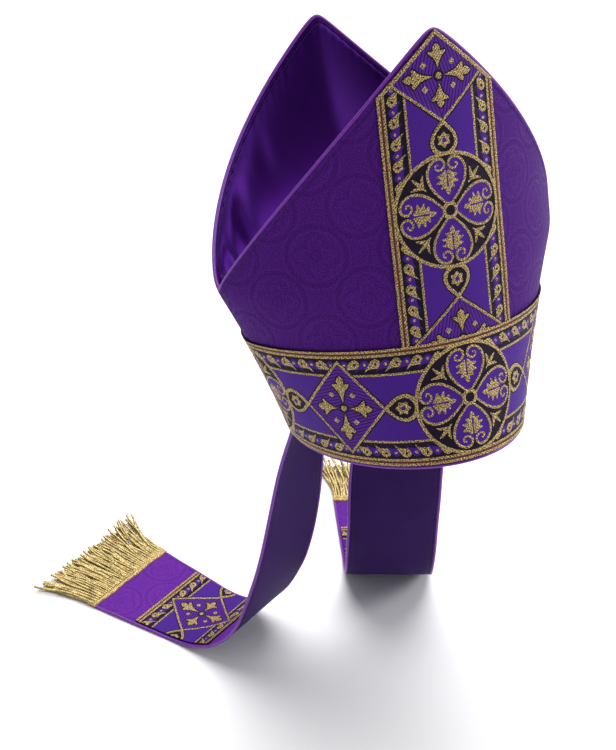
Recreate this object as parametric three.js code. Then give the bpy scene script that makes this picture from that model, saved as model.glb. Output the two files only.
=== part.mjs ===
// A bishop's mitre with its two lappets, in millimetres, +Z up, front towards -Y.
//
// The origin is the centre of the head opening, in the plane of the rim. The mitre leans back on
// that point as it does on a head. The lappets hang from the back of the rim and lie out on a
// level surface, so they are worked out upright and the mitre's own pieces sit in a turned group.

import * as THREE from 'three';

// ---- driving dimensions -------------------------------------------------------------------

const LEAN = THREE.MathUtils.degToRad(14);   // the mitre's backward lean on the head
const CORNER_HEIGHT = 131;                   // rim to the side corners
const PEAK_HEIGHT = 299.5;                   // rim to the level of the peaks
const GALLOON = 88;                          // width of the galloon
const GALLOON_LIFT = 0.5;                    // rim to the galloon's lower edge

const HORN_WALL = 2.2;                       // damask on a stiff backing
const SATIN_WALL = 1.2;
const GALLOON_WALL = 1.2;
const LAPPET_WALL = 2.4;                     // damask, interlining and satin
const GAP = 0.35;                            // left between pieces that touch
const PIPING_RADIUS = 1.5;

// Half widths across the head at four heights, and half depths of each horn at three.
const HALF_WIDTH = { rim: 83, middle: 107.5, corner: 136.5, peak: 134 };
const HALF_DEPTH = {
  front: { rim: 106, corner: 98, peak: 94.5 },
  back: { rim: 106, corner: 98, peak: 80 },
};
const POINTEDNESS = { rim: 2, corner: 1.45 };      // 2 is an ellipse, less is pointed at the sides
const EDGE_BOW = { front: 1.06, back: 1.03 };      // over 1 bows a horn's top edges outwards
const EDGE_APEX = 301.5;                     // where the two edges of a horn would meet if sharp
const PEAK_ROUNDING = 0.025;                 // as a share of the way to a corner

// ---- the mitre's shell --------------------------------------------------------------------

// The value at t of the parabola through (0, a), (middle, b) and (1, c).
function parabola(a, b, c, middle, t) {
  return (
    (a * (t - middle) * (t - 1)) / middle +
    (b * t * (t - 1)) / (middle * (middle - 1)) +
    (c * t * (t - middle)) / (1 - middle)
  );
}

function halfWidth(z) {
  const { rim, middle, corner, peak } = HALF_WIDTH;
  if (z <= CORNER_HEIGHT) return parabola(rim, middle, corner, 0.5, z / CORNER_HEIGHT);
  return corner + ((peak - corner) * (z - CORNER_HEIGHT)) / (PEAK_HEIGHT - CORNER_HEIGHT);
}

function halfDepth(side, z) {
  const { rim, corner, peak } = HALF_DEPTH[side];
  return parabola(rim, corner, peak, CORNER_HEIGHT / PEAK_HEIGHT, z / PEAK_HEIGHT);
}

// One horn's section at a height, walked from its centre line to the side seam in small steps.
const SECTION_STEPS = 90;
const sectionCache = new Map();

function section(side, z) {
  const key = `${side} ${z.toFixed(4)}`;
  if (sectionCache.has(key)) return sectionCache.get(key);
  const roundness = Math.min(Math.max(z / CORNER_HEIGHT, 0), 1);
  const power = POINTEDNESS.rim + (POINTEDNESS.corner - POINTEDNESS.rim) * roundness;
  const points = [];
  let arc = 0;
  for (let i = 0; i <= SECTION_STEPS; i += 1) {
    const angle = (Math.PI / 2) * (i / SECTION_STEPS);
    const x = halfWidth(z) * Math.sin(angle);
    const y = halfDepth(side, z) * Math.max(Math.cos(angle), 0) ** (2 / power);
    const last = points.at(-1);
    if (last) arc += Math.hypot(x - last.x, y - last.y);
    points.push({ x, y, arc });
  }
  sectionCache.set(key, points);
  return points;
}

const halfGirth = (side, z) => section(side, z).at(-1).arc;

// The point of a horn's outer face at an arc length from its centre line, to either side.
function facePoint(side, arc, z) {
  const points = section(side, z);
  const reach = Math.min(Math.abs(arc), points.at(-1).arc);
  let i = 1;
  while (i < points.length - 1 && points[i].arc < reach) i += 1;
  const [a, b] = [points[i - 1], points[i]];
  const part = (reach - a.arc) / (b.arc - a.arc);
  const x = Math.sign(arc) * (a.x + (b.x - a.x) * part);
  const y = a.y + (b.y - a.y) * part;
  return new THREE.Vector3(x, side === 'front' ? -y : y, z);
}

const STEP = 0.6;                            // used to take slopes of the shell

function faceNormal(side, arc, z) {
  const girth = halfGirth(side, z);
  if (Math.abs(arc) > girth - 2 * STEP) {
    const rise = (halfWidth(z + STEP) - halfWidth(z - STEP)) / (2 * STEP);
    return new THREE.Vector3(Math.sign(arc), 0, -rise).normalize();
  }
  const along = facePoint(side, arc + STEP, z).sub(facePoint(side, arc - STEP, z));
  const share = arc / girth;
  const up = facePoint(side, share * halfGirth(side, z + STEP), z + STEP)
    .sub(facePoint(side, share * halfGirth(side, z - STEP), z - STEP));
  const normal = along.cross(up).normalize();
  return side === 'front' ? normal : normal.negate();
}

// A point of the shell moved inwards by inset, and kept off the plane of the side seams.
function shellPoint(side, arc, z, inset) {
  const point = facePoint(side, arc, z).addScaledVector(faceNormal(side, arc, z), -inset);
  const clear = Math.max(Math.abs(point.y), GAP / 2);
  return point.setY(side === 'front' ? -clear : clear);
}

// Height of a horn's piped edge, at a share of the way from the centre (0) to a corner (1).
function edgeHeight(side, share) {
  const fall = (Math.hypot(share, PEAK_ROUNDING) / Math.hypot(1, PEAK_ROUNDING)) ** EDGE_BOW[side];
  return EDGE_APEX - (EDGE_APEX - CORNER_HEIGHT) * fall;
}

const cornerGirth = (side) => halfGirth(side, CORNER_HEIGHT);
const EDGE_STEEPNESS = Math.hypot(1, (PEAK_HEIGHT - CORNER_HEIGHT) / cornerGirth('front'));

// How far below the piped edge something ends that stays a distance away from it.
const dropFor = (distance) => distance * EDGE_STEEPNESS;

// ---- closed geometry from grids of points -------------------------------------------------

// A wall between two grids of points, outer and inner, with rows along v and points along u.
function wallGeometry(outer, inner, { loop = false } = {}) {
  const rows = outer.length;
  const columns = outer[0].length;
  const positions = [...outer, ...inner].flat().flatMap((p) => [p.x, p.y, p.z]);
  const at = (face, row, column) => face * rows * columns + row * columns + (column % columns);
  const triangles = [];
  const quad = (a, b, c, d) => triangles.push(a, b, c, a, c, d);
  const last = loop ? columns : columns - 1;
  for (let row = 0; row < rows - 1; row += 1) {
    for (let column = 0; column < last; column += 1) {
      quad(at(0, row, column), at(0, row, column + 1), at(0, row + 1, column + 1), at(0, row + 1, column));
      quad(at(1, row, column), at(1, row + 1, column), at(1, row + 1, column + 1), at(1, row, column + 1));
    }
    if (!loop) {
      quad(at(0, row, 0), at(0, row + 1, 0), at(1, row + 1, 0), at(1, row, 0));
      quad(at(0, row, last), at(1, row, last), at(1, row + 1, last), at(0, row + 1, last));
    }
  }
  for (let column = 0; column < last; column += 1) {
    const top = rows - 1;
    quad(at(0, 0, column), at(1, 0, column), at(1, 0, column + 1), at(0, 0, column + 1));
    quad(at(0, top, column), at(0, top, column + 1), at(1, top, column + 1), at(1, top, column));
  }
  return closedGeometry(positions, triangles);
}

// Turns the triangles over if they enclose a negative volume, so that faces point outwards.
function closedGeometry(positions, triangles) {
  const [a, b, c] = [new THREE.Vector3(), new THREE.Vector3(), new THREE.Vector3()];
  let volume = 0;
  for (let i = 0; i < triangles.length; i += 3) {
    a.fromArray(positions, 3 * triangles[i]);
    b.fromArray(positions, 3 * triangles[i + 1]);
    c.fromArray(positions, 3 * triangles[i + 2]);
    volume += a.dot(b.cross(c));
  }
  if (volume < 0) {
    for (let i = 0; i < triangles.length; i += 3) {
      [triangles[i + 1], triangles[i + 2]] = [triangles[i + 2], triangles[i + 1]];
    }
  }
  const geometry = new THREE.BufferGeometry();
  geometry.setAttribute('position', new THREE.Float32BufferAttribute(positions, 3));
  geometry.setIndex(triangles);
  geometry.computeVertexNormals();
  return geometry;
}

// A round cord through a list of points, swept upright so that it doesn't twist.
const CORD_SIDES = 6;

function cordGeometry(path, radius, { loop = false } = {}) {
  const count = path.length;
  const rings = path.map((point, i) => {
    const before = path[loop ? (i - 1 + count) % count : Math.max(i - 1, 0)];
    const after = path[loop ? (i + 1) % count : Math.min(i + 1, count - 1)];
    const tangent = after.clone().sub(before).normalize();
    const level = new THREE.Vector3(0, 0, 1).cross(tangent).normalize();
    const lift = tangent.clone().cross(level);
    return Array.from({ length: CORD_SIDES }, (_, k) => {
      const angle = (2 * Math.PI * k) / CORD_SIDES;
      return point.clone()
        .addScaledVector(level, radius * Math.cos(angle))
        .addScaledVector(lift, radius * Math.sin(angle));
    });
  });
  const positions = rings.flat().flatMap((p) => [p.x, p.y, p.z]);
  const triangles = [];
  const at = (ring, k) => (ring % count) * CORD_SIDES + (k % CORD_SIDES);
  const spans = loop ? count : count - 1;
  for (let ring = 0; ring < spans; ring += 1) {
    for (let k = 0; k < CORD_SIDES; k += 1) {
      triangles.push(at(ring, k), at(ring + 1, k), at(ring + 1, k + 1));
      triangles.push(at(ring, k), at(ring + 1, k + 1), at(ring, k + 1));
    }
  }
  if (!loop) {
    for (let k = 1; k < CORD_SIDES - 1; k += 1) {
      triangles.push(at(0, 0), at(0, k), at(0, k + 1));
      triangles.push(at(count - 1, 0), at(count - 1, k + 1), at(count - 1, k));
    }
  }
  return closedGeometry(positions, triangles);
}

const evenly = (steps, from, to) =>
  Array.from({ length: steps + 1 }, (_, i) => from + ((to - from) * i) / steps);

// ---- materials ----------------------------------------------------------------------------

const damask = new THREE.MeshStandardMaterial({ color: 0x4a1d80, roughness: 0.6, metalness: 0 });
const satin = new THREE.MeshStandardMaterial({ color: 0x3a1270, roughness: 0.35, metalness: 0 });
const piping = new THREE.MeshStandardMaterial({ color: 0x7a2ab0, roughness: 0.4, metalness: 0 });
const galloon = new THREE.MeshStandardMaterial({ color: 0x9a7c4a, roughness: 0.5, metalness: 0.3 });
const gold = new THREE.MeshStandardMaterial({ color: 0xc9a45c, roughness: 0.4, metalness: 0.5 });

function mesh(name, geometry, material) {
  const piece = new THREE.Mesh(geometry, material);
  piece.name = name;
  return piece;
}

// ---- the mitre's own pieces ---------------------------------------------------------------

const HORN_COLUMNS = 24;
const HORN_ROWS = 10;
const HORN_EDGE_DROP = dropFor(PIPING_RADIUS * 2 + GAP);

// Both horns are gridded the same way round the head as the galloon, so their facets agree.
function horn(side) {
  const right = side === 'front' ? -1 : 1;
  const grid = (inset) => evenly(HORN_ROWS, 0, 1).map((rise) =>
    evenly(HORN_COLUMNS, right, -right).map((share) => {
      const z = rise * (edgeHeight(side, share) - HORN_EDGE_DROP);
      return shellPoint(side, share * halfGirth(side, z), z, inset);
    }));
  return mesh(`horn_${side}`, wallGeometry(grid(0), grid(HORN_WALL)), damask);
}

// The web lies down the inside of each horn and crosses between them in a round trough. Each
// crosswise strip of it is a half ellipse, about as long as the two triangles of horn above the
// corners, so it lies deep in the middle and almost level towards the corners.
const WEB_REACH = 0.92;                      // how near the corners the web comes, as a share
const WEB_SLACK = 16;                        // spare length in each half of a crosswise strip
const WEB_LEAST_DEPTH = 0.25;                // of a half strip's length, where it is short
const WEB_CLEAR = 5;                         // kept between the web and the level of the corners
const WEB_COLUMNS = 16;
const WEB_ROWS = 18;

function webStrip(share) {
  const [front, back] = ['front', 'back'].map((side) => {
    const z = edgeHeight(side, share) - HORN_EDGE_DROP;
    return shellPoint(side, share * halfGirth(side, z), z, HORN_WALL + SATIN_WALL + 2 * GAP);
  });
  const reach = (back.y - front.y) / 2;
  const length = edgeHeight('front', share) - CORNER_HEIGHT + WEB_SLACK;
  const sag = Math.sqrt(Math.max(2 * ((2 * length) / Math.PI) ** 2 - reach ** 2,
    (WEB_LEAST_DEPTH * length) ** 2));
  const depth = Math.min(sag, front.z - CORNER_HEIGHT - WEB_CLEAR);
  return evenly(WEB_ROWS, -Math.PI / 2, Math.PI / 2).map((angle) => {
    const point = front.clone().lerp(back, (Math.sin(angle) + 1) / 2);
    point.z -= depth * Math.cos(angle);
    return point;
  });
}

// The underside of a grid of points: each one moved square off the surface by its thickness.
function underside(grid, thickness) {
  const end = (list, index) => list[Math.min(Math.max(index, 0), list.length - 1)];
  return grid.map((row, i) => row.map((point, j) => {
    const along = end(grid, i + 1)[j].clone().sub(end(grid, i - 1)[j]);
    const across = end(row, j + 1).clone().sub(end(row, j - 1));
    return point.clone().addScaledVector(along.cross(across).normalize(), -thickness);
  }));
}

function crownWeb() {
  const top = evenly(WEB_COLUMNS, -WEB_REACH, WEB_REACH).map(webStrip);
  return mesh('crown_web', wallGeometry(top, underside(top, SATIN_WALL)), satin);
}

const CIRCULUS_ROWS = 3;

function circulus() {
  const low = GALLOON_LIFT;
  const grid = (inset) => evenly(CIRCULUS_ROWS, low, low + GALLOON).map((z) => {
    const half = (side, sign) => evenly(HORN_COLUMNS, -1, 1).slice(0, -1).map((share) =>
      shellPoint(side, sign * share * halfGirth(side, z), z, inset));
    return [...half('front', 1), ...half('back', -1)];
  });
  const geometry = wallGeometry(grid(-GAP - GALLOON_WALL), grid(-GAP), { loop: true });
  return mesh('circulus', geometry, galloon);
}

const TITULUS_COLUMNS = 6;
const TITULUS_ROWS = 12;

function titulus(side) {
  const low = GALLOON_LIFT + GALLOON + GAP;
  const grid = (inset) => evenly(TITULUS_ROWS, 0, 1).map((rise) =>
    evenly(TITULUS_COLUMNS, -GALLOON / 2, GALLOON / 2).map((arc) => {
      const high = edgeHeight(side, arc / cornerGirth(side)) - HORN_EDGE_DROP;
      return shellPoint(side, arc, low + rise * (high - low), inset);
    }));
  return mesh(`titulus_${side}`, wallGeometry(grid(-GAP - GALLOON_WALL), grid(-GAP)), galloon);
}

const HORN_PIPING_STEPS = 36;
const HORN_PIPING_REACH = 0.982;             // stops short of the other horn's cord at the corner

function hornPiping(side) {
  const inset = (HORN_WALL + SATIN_WALL) / 2 - GAP;
  const path = evenly(HORN_PIPING_STEPS, -HORN_PIPING_REACH, HORN_PIPING_REACH).map((share) => {
    const z = edgeHeight(side, share) - dropFor(PIPING_RADIUS);
    return shellPoint(side, share * halfGirth(side, z), z, inset);
  });
  return mesh(`piping_horn_${side}`, cordGeometry(path, PIPING_RADIUS), piping);
}

const RIM_PIPING_STEPS = 36;                 // per horn
const RIM_PIPING_INSET = 0.8;

function rimPiping() {
  const z = -PIPING_RADIUS - GAP;
  const half = (side, sign) => evenly(RIM_PIPING_STEPS, -1, 1).slice(0, -1).map((share) => {
    const arc = sign * share * halfGirth(side, 0);
    return facePoint(side, arc, 0).addScaledVector(faceNormal(side, arc, 0), -RIM_PIPING_INSET).setZ(z);
  });
  const path = [...half('front', 1), ...half('back', -1)];
  return mesh('piping_rim', cordGeometry(path, PIPING_RADIUS, { loop: true }), piping);
}

// ---- the lappets --------------------------------------------------------------------------

// Each lappet runs out at a heading to its own side, seen from above. TOUCH is a point of its
// centre line on the level surface, under the middle of its galloon. A row of PATH is a place
// on the centre line: how far it is from TOUCH along the heading, how high it is above the
// surface, and the lappet's half width there. The first row is where it leaves the rim.
const HEADING = THREE.MathUtils.degToRad(27);
const TOUCH = { out: 98.5, back: 187, down: 309.6 };
const PATH = [
  { run: -121, rise: 287, half: 40 },
  { run: -118, rise: 251, half: 40 },
  { run: -112, rise: 200, half: 40.5 },
  { run: -105, rise: 155, half: 41 },
  { run: -96, rise: 114, half: 41 },
  { run: -85, rise: 78, half: 41.5 },
  { run: -69, rise: 44, half: 41.5 },
  { run: -47, rise: 19, half: 42 },
  { run: -22, rise: 5.5, half: 42.5 },
  { run: 0, rise: 1.6, half: 43.5 },
  { run: 22, rise: 1.6, half: 45.5 },
  { run: 44, rise: 1.6, half: 47.5 },
  { run: 66, rise: 1.6, half: 49.5 },
  { run: 97, rise: 1.6, half: 52 },
];
const SEAT = { inner: 23, outer: 103, above: 12, below: 3.5 };   // sewn inside the rim, as arcs
const EASING = 0.3;                          // share of the length that eases the rim's curve out
const LAPPET_INSET = RIM_PIPING_INSET + PIPING_RADIUS + 2 * GAP + LAPPET_WALL / 2;
const LAPPET_COLUMNS = 5;
const SLOPE_SPAN = { along: 0.004, across: 0.05 };               // used to take a lappet's slopes
const LAPPET_PIPING_STEPS = 30;
const PIPING_START = 0.015;                  // share of the length where a lappet's piping begins
const BRAID_DEPTH = 9;
const BRAID_WALL = 2.4;
const FRINGE = { length: 57, half: 64, thick: 8, thin: 5 };

const centreLine = new THREE.CatmullRomCurve3(
  PATH.map(({ run, rise, half }) => new THREE.Vector3(run, rise, half)),
);
const LAPPET_LENGTH = centreLine.getLength();
const touchShare = evenly(2000, 0, 1).find((share) => centreLine.getPointAt(share).x >= 0);
const shareOf = (length) => length / LAPPET_LENGTH;

function lappet(name, sign) {
  const heading = new THREE.Vector3(sign * Math.sin(HEADING), Math.cos(HEADING), 0);
  const crosswise = new THREE.Vector3(sign * Math.cos(HEADING), -Math.sin(HEADING), 0);
  const touch = new THREE.Vector3(sign * TOUCH.out, TOUCH.back, -TOUCH.down);

  // The place of a point of the rim's inside, across the seat from -1 (inner) to 1 (outer).
  const seatPoint = (across, z) => {
    const arc = sign * ((SEAT.inner + SEAT.outer) / 2 + (across * (SEAT.outer - SEAT.inner)) / 2);
    const foot = facePoint('back', arc, Math.max(z, 0));
    foot.addScaledVector(faceNormal('back', arc, Math.max(z, 0)), -LAPPET_INSET);
    return foot.setZ(z).applyAxisAngle(new THREE.Vector3(1, 0, 0), -LEAN);
  };
  const flatPoint = (share, across) => {
    const place = centreLine.getPointAt(share);
    return touch.clone()
      .addScaledVector(heading, place.x)
      .addScaledVector(crosswise, across * place.z)
      .add(new THREE.Vector3(0, 0, place.y));
  };
  const point = (share, across) => {
    const place = flatPoint(share, across);
    if (share >= EASING) return place;
    const fade = (1 - share / EASING) ** 2;
    const seat = seatPoint(across, -SEAT.below);
    return place.addScaledVector(seat.sub(flatPoint(0, across)), fade);
  };
  const half = (share) => centreLine.getPointAt(share).z;
  const damaskSide = (share, across) => {
    const back = point(Math.max(share - SLOPE_SPAN.along, 0), across);
    const ahead = point(Math.min(share + SLOPE_SPAN.along, 1), across);
    const span = point(share, across + SLOPE_SPAN.across)
      .sub(point(share, across - SLOPE_SPAN.across));
    return ahead.sub(back).cross(span).normalize().multiplyScalar(-sign);
  };
  const raised = (share, across, lift) =>
    point(share, across).addScaledVector(damaskSide(share, across), lift);

  // Cloth between two shares of the length, as far as edge millimetres in from the sides.
  const cloth = (rows, edge, low, high, before = []) => {
    const grid = (lift) => [
      ...before.map((z) => evenly(LAPPET_COLUMNS, -1, 1).map((a) => {
        const across = (a * (half(0) - edge)) / half(0);
        const away = seatPoint(across, z).setZ(0).normalize();
        return seatPoint(across, z).addScaledVector(away, lift);
      })),
      ...rows.map((share) => evenly(LAPPET_COLUMNS, -1, 1).map((a) =>
        raised(share, (a * (half(share) - edge)) / half(share), lift))),
    ];
    return wallGeometry(grid(high), grid(low));
  };

  const clothEdge = 2 * PIPING_RADIUS + GAP;
  const pieceRows = evenly(8, touchShare - shareOf(GALLOON / 2), touchShare + shareOf(GALLOON / 2));
  const hangingRows = evenly(16, 0, pieceRows[0]).slice(0, -1);
  const endRows = evenly(3, pieceRows.at(-1), 1).slice(1);
  const strip = cloth([...hangingRows, ...pieceRows, ...endRows], clothEdge,
    -LAPPET_WALL / 2, LAPPET_WALL / 2, [SEAT.above, SEAT.above / 2, 0]);

  const onTop = LAPPET_WALL / 2 + GAP;
  const piece = cloth(pieceRows, clothEdge, onTop, onTop + GALLOON_WALL);

  const braidStart = 1 - shareOf(BRAID_DEPTH);
  const braid = cloth([braidStart, 1], 0, onTop, onTop + BRAID_WALL);

  const cord = (edgeSign) => {
    const shares = evenly(LAPPET_PIPING_STEPS, PIPING_START, braidStart - shareOf(2 * GAP));
    return cordGeometry(shares.map((share) =>
      point(share, (edgeSign * (half(share) - PIPING_RADIUS)) / half(share))), PIPING_RADIUS);
  };

  const end = PATH.at(-1);
  const fringeGrid = (lift) => [0, 0.5, 1].map((out) => evenly(4, -1, 1).map((a) => {
    const spread = end.half + (FRINGE.half - end.half) * out;
    return touch.clone()
      .addScaledVector(heading, end.run + GAP + FRINGE.length * out)
      .addScaledVector(crosswise, a * spread)
      .add(new THREE.Vector3(0, 0, GAP + lift * (FRINGE.thick + (FRINGE.thin - FRINGE.thick) * out)));
  }));

  return [
    mesh(name, strip, damask),
    mesh(`${name}_galloon`, piece, galloon),
    mesh(`${name}_piping_inner`, cord(-1), piping),
    mesh(`${name}_piping_outer`, cord(1), piping),
    mesh(`${name}_braid`, braid, gold),
    mesh(`${name}_fringe`, wallGeometry(fringeGrid(1), fringeGrid(0)), gold),
  ];
}

// ---- the whole object ---------------------------------------------------------------------

const mitre = new THREE.Group();
mitre.rotation.x = -LEAN;
for (const side of ['front', 'back']) mitre.add(horn(side));
mitre.add(crownWeb(), circulus());
for (const side of ['front', 'back']) mitre.add(titulus(side), hornPiping(side));
mitre.add(rimPiping());

const whole = new THREE.Group();
whole.add(mitre, ...lappet('lappet_right', -1), ...lappet('lappet_left', 1));

export default whole;
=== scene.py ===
import math

import bmesh
import bpy
import numpy as np
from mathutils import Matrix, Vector, geometry


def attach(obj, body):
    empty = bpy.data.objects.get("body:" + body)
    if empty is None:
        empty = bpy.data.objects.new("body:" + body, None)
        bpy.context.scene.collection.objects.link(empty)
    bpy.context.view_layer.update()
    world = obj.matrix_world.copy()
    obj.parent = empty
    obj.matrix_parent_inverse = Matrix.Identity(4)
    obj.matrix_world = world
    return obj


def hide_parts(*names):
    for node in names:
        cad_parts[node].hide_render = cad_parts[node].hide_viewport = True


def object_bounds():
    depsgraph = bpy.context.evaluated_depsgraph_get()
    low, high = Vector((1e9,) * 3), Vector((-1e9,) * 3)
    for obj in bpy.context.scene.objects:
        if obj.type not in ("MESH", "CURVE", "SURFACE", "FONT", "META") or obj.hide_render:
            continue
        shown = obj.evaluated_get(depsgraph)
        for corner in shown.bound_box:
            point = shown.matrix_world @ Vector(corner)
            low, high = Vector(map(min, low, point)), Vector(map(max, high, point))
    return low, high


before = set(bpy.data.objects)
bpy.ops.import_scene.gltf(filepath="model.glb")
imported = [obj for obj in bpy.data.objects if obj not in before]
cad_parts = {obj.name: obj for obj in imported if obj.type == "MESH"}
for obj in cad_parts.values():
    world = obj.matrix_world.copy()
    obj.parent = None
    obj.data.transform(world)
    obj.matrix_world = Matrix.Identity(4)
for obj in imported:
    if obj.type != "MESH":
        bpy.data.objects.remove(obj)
cad_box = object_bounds()


# ---- The horns ------------------------------------------------------------------------------
# Two stiff boards, front and back, bent round the head and sewn together at the side seams below
# the corners. They are covered in violet damask and lined with plain satin, and a row of stitches
# sinks a groove just inside their piped edges.

MM = 0.001
LEAN = math.radians(14)             # the mitre's backward lean on the head
CORNER_HEIGHT = 131.0               # rim to the side corners
PEAK_HEIGHT = 299.5
EDGE_APEX = 301.5                   # where the two edges of a horn would meet if sharp
PEAK_ROUNDING = 0.025               # as a share of the way to a corner
HALF_WIDTH = {"rim": 83.0, "middle": 107.5, "corner": 136.5, "peak": 134.0}
HALF_DEPTH = {
    "front": {"rim": 106.0, "corner": 98.0, "peak": 94.5},
    "back": {"rim": 106.0, "corner": 98.0, "peak": 80.0},
}
POINTEDNESS = {"rim": 2.0, "corner": 1.45}      # 2 is an ellipse, less is pointed at the sides
EDGE_BOW = {"front": 1.06, "back": 1.03}        # over 1 bows a horn's top edges outwards
SEAM_CLEARANCE = 0.175              # kept by each horn off the plane of the side seams
CREASE_EASE = 12                    # millimetres, above and below the corners' height
HORN_WALL = 2.2
PIPING_RADIUS = 1.5
GROOVE = {"at": 5.6, "half": 0.75, "depth": 0.6}      # from the outside of the piping, inwards
SIDE_SEAM = {"half": 1.3, "depth": 0.5}
HORN_COLUMNS = 161
HORN_ROWS = 64
ROWS_AT_GROOVE = (12, 9.5, 8, 7, 6.4, 6, 5.6, 5.2, 4.8, 4.2, 3.6, 3, 2.4)


def parabola(a, b, c, middle, t):
    """The value at t of the parabola through (0, a), (middle, b) and (1, c)."""
    return (
        a * (t - middle) * (t - 1) / middle
        + b * t * (t - 1) / (middle * (middle - 1))
        + c * t * (t - middle) / (1 - middle)
    )


def half_width(z):
    low = parabola(HALF_WIDTH["rim"], HALF_WIDTH["middle"], HALF_WIDTH["corner"], 0.5, z / CORNER_HEIGHT)
    rise = (z - CORNER_HEIGHT) / (PEAK_HEIGHT - CORNER_HEIGHT)
    high = HALF_WIDTH["corner"] + (HALF_WIDTH["peak"] - HALF_WIDTH["corner"]) * rise
    return np.where(z <= CORNER_HEIGHT, low, high)


def eased(rows):
    """Rows averaged over a few millimetres of height, so that no crease shows at the corners."""
    weights = np.hanning(2 * CREASE_EASE + 3)[1:-1]
    before = 2 * rows[:1] - rows[CREASE_EASE:0:-1]
    after = 2 * rows[-1:] - rows[-2:-CREASE_EASE - 2:-1]
    padded = np.concatenate([before, rows, after])
    total = sum(weight * padded[k:k + len(rows)] for k, weight in enumerate(weights))
    return total / weights.sum()


class Shell:
    """The outer face of one horn, upright and in millimetres.

    A place on it is a share of the way round from the centre line (0) to a side seam (-1 or 1),
    and a height above the rim."""

    STEPS = 240                     # from the centre line to a side seam
    ROWS = 306                      # one for each millimetre of height
    ARC_STEPS = 720                 # along a section, to measure its girth

    def __init__(self, side):
        depth = HALF_DEPTH[side]
        self.side = side
        z = np.arange(self.ROWS, dtype=float)
        shares = np.linspace(0, 1, self.STEPS + 1)
        angle = np.linspace(0, math.pi / 2, self.ARC_STEPS + 1)
        points = np.zeros((self.ROWS, self.STEPS + 1, 3))
        self.girth = np.zeros(self.ROWS)
        for row, height in enumerate(z):
            power = POINTEDNESS["rim"] + (POINTEDNESS["corner"] - POINTEDNESS["rim"]) * min(
                height / CORNER_HEIGHT, 1
            )
            reach = parabola(
                depth["rim"], depth["corner"], depth["peak"],
                CORNER_HEIGHT / PEAK_HEIGHT, height / PEAK_HEIGHT,
            )
            x = half_width(height) * np.sin(angle)
            y = reach * np.maximum(np.cos(angle), 0) ** (2 / power)
            arc = np.concatenate([[0], np.cumsum(np.hypot(np.diff(x), np.diff(y)))])
            self.girth[row] = arc[-1]
            points[row, :, 0] = np.interp(shares * arc[-1], arc, x)
            points[row, :, 1] = np.interp(shares * arc[-1], arc, y) * (-1 if side == "front" else 1)
            points[row, :, 2] = height
        points = eased(points)
        self.girth = eased(self.girth)
        normals = np.cross(np.gradient(points, axis=1), np.gradient(points, axis=0))
        normals *= 1 if side == "front" else -1
        normals[:, -2:] = np.stack(
            [np.ones(self.ROWS), np.zeros(self.ROWS), -np.gradient(points[:, -1, 0])], axis=1
        )[:, None]
        normals /= np.linalg.norm(normals, axis=2, keepdims=True)
        self.table = np.concatenate([points, normals], axis=2)

    def girth_at(self, z):
        return np.interp(z, np.arange(self.ROWS), self.girth)

    def point(self, share, z, inset=0.0):
        """Points moved inwards by inset, and kept off the plane of the side seams."""
        share, z, inset = np.broadcast_arrays(share, z, inset)
        column = np.clip(np.abs(share), 0, 1) * self.STEPS
        row = np.clip(z, 0, self.ROWS - 1)
        i = np.minimum(column.astype(int), self.STEPS - 1)
        j = np.minimum(row.astype(int), self.ROWS - 2)
        u, v = (column - i)[..., None], (row - j)[..., None]
        low = self.table[j, i] * (1 - u) + self.table[j, i + 1] * u
        high = self.table[j + 1, i] * (1 - u) + self.table[j + 1, i + 1] * u
        both = low * (1 - v) + high * v
        place = both[..., :3] - inset[..., None] * both[..., 3:]
        place[..., 0] *= np.where(share < 0, -1, 1)
        clear = np.maximum(np.abs(place[..., 1]), SEAM_CLEARANCE)
        place[..., 1] = -clear if self.side == "front" else clear
        place[..., 2] += z - row
        return place


shells = {side: Shell(side) for side in ("front", "back")}


def edge_height(side, share):
    """Height of a horn's piped edge, at a share of the way from the centre to a corner."""
    fall = (np.hypot(share, PEAK_ROUNDING) / math.hypot(1, PEAK_ROUNDING)) ** EDGE_BOW[side]
    return EDGE_APEX - (EDGE_APEX - CORNER_HEIGHT) * fall


CORNER_GIRTH = float(shells["front"].girth_at(CORNER_HEIGHT))
EDGE_STEEPNESS = math.hypot(1, (PEAK_HEIGHT - CORNER_HEIGHT) / CORNER_GIRTH)


def leaning(points):
    """Upright millimetres to metres on the leaning mitre."""
    x, y, z = np.moveaxis(np.asarray(points, float), -1, 0)
    turned = [x, y * math.cos(LEAN) + z * math.sin(LEAN), z * math.cos(LEAN) - y * math.sin(LEAN)]
    return np.stack(turned, axis=-1) * MM


def mesh_object(name, points, faces, materials, uv=None, indices=None):
    """An object from arrays: points in metres, and one flat place in metres for each point."""
    mesh = bpy.data.meshes.new(name)
    mesh.from_pydata(points.reshape(-1, 3).tolist(), [], [list(map(int, f)) for f in faces])
    for made in materials:
        mesh.materials.append(made)
    if indices is not None:
        mesh.polygons.foreach_set("material_index", np.asarray(indices, np.int32))
    if uv is not None:
        corners = np.zeros(len(mesh.loops), np.int32)
        mesh.loops.foreach_get("vertex_index", corners)
        mesh.uv_layers.new(name="flat").data.foreach_set("uv", uv.reshape(-1, 2)[corners].ravel())
    mesh.shade_smooth()
    thing = bpy.data.objects.new(name, mesh)
    bpy.context.scene.collection.objects.link(thing)
    return thing


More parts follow.
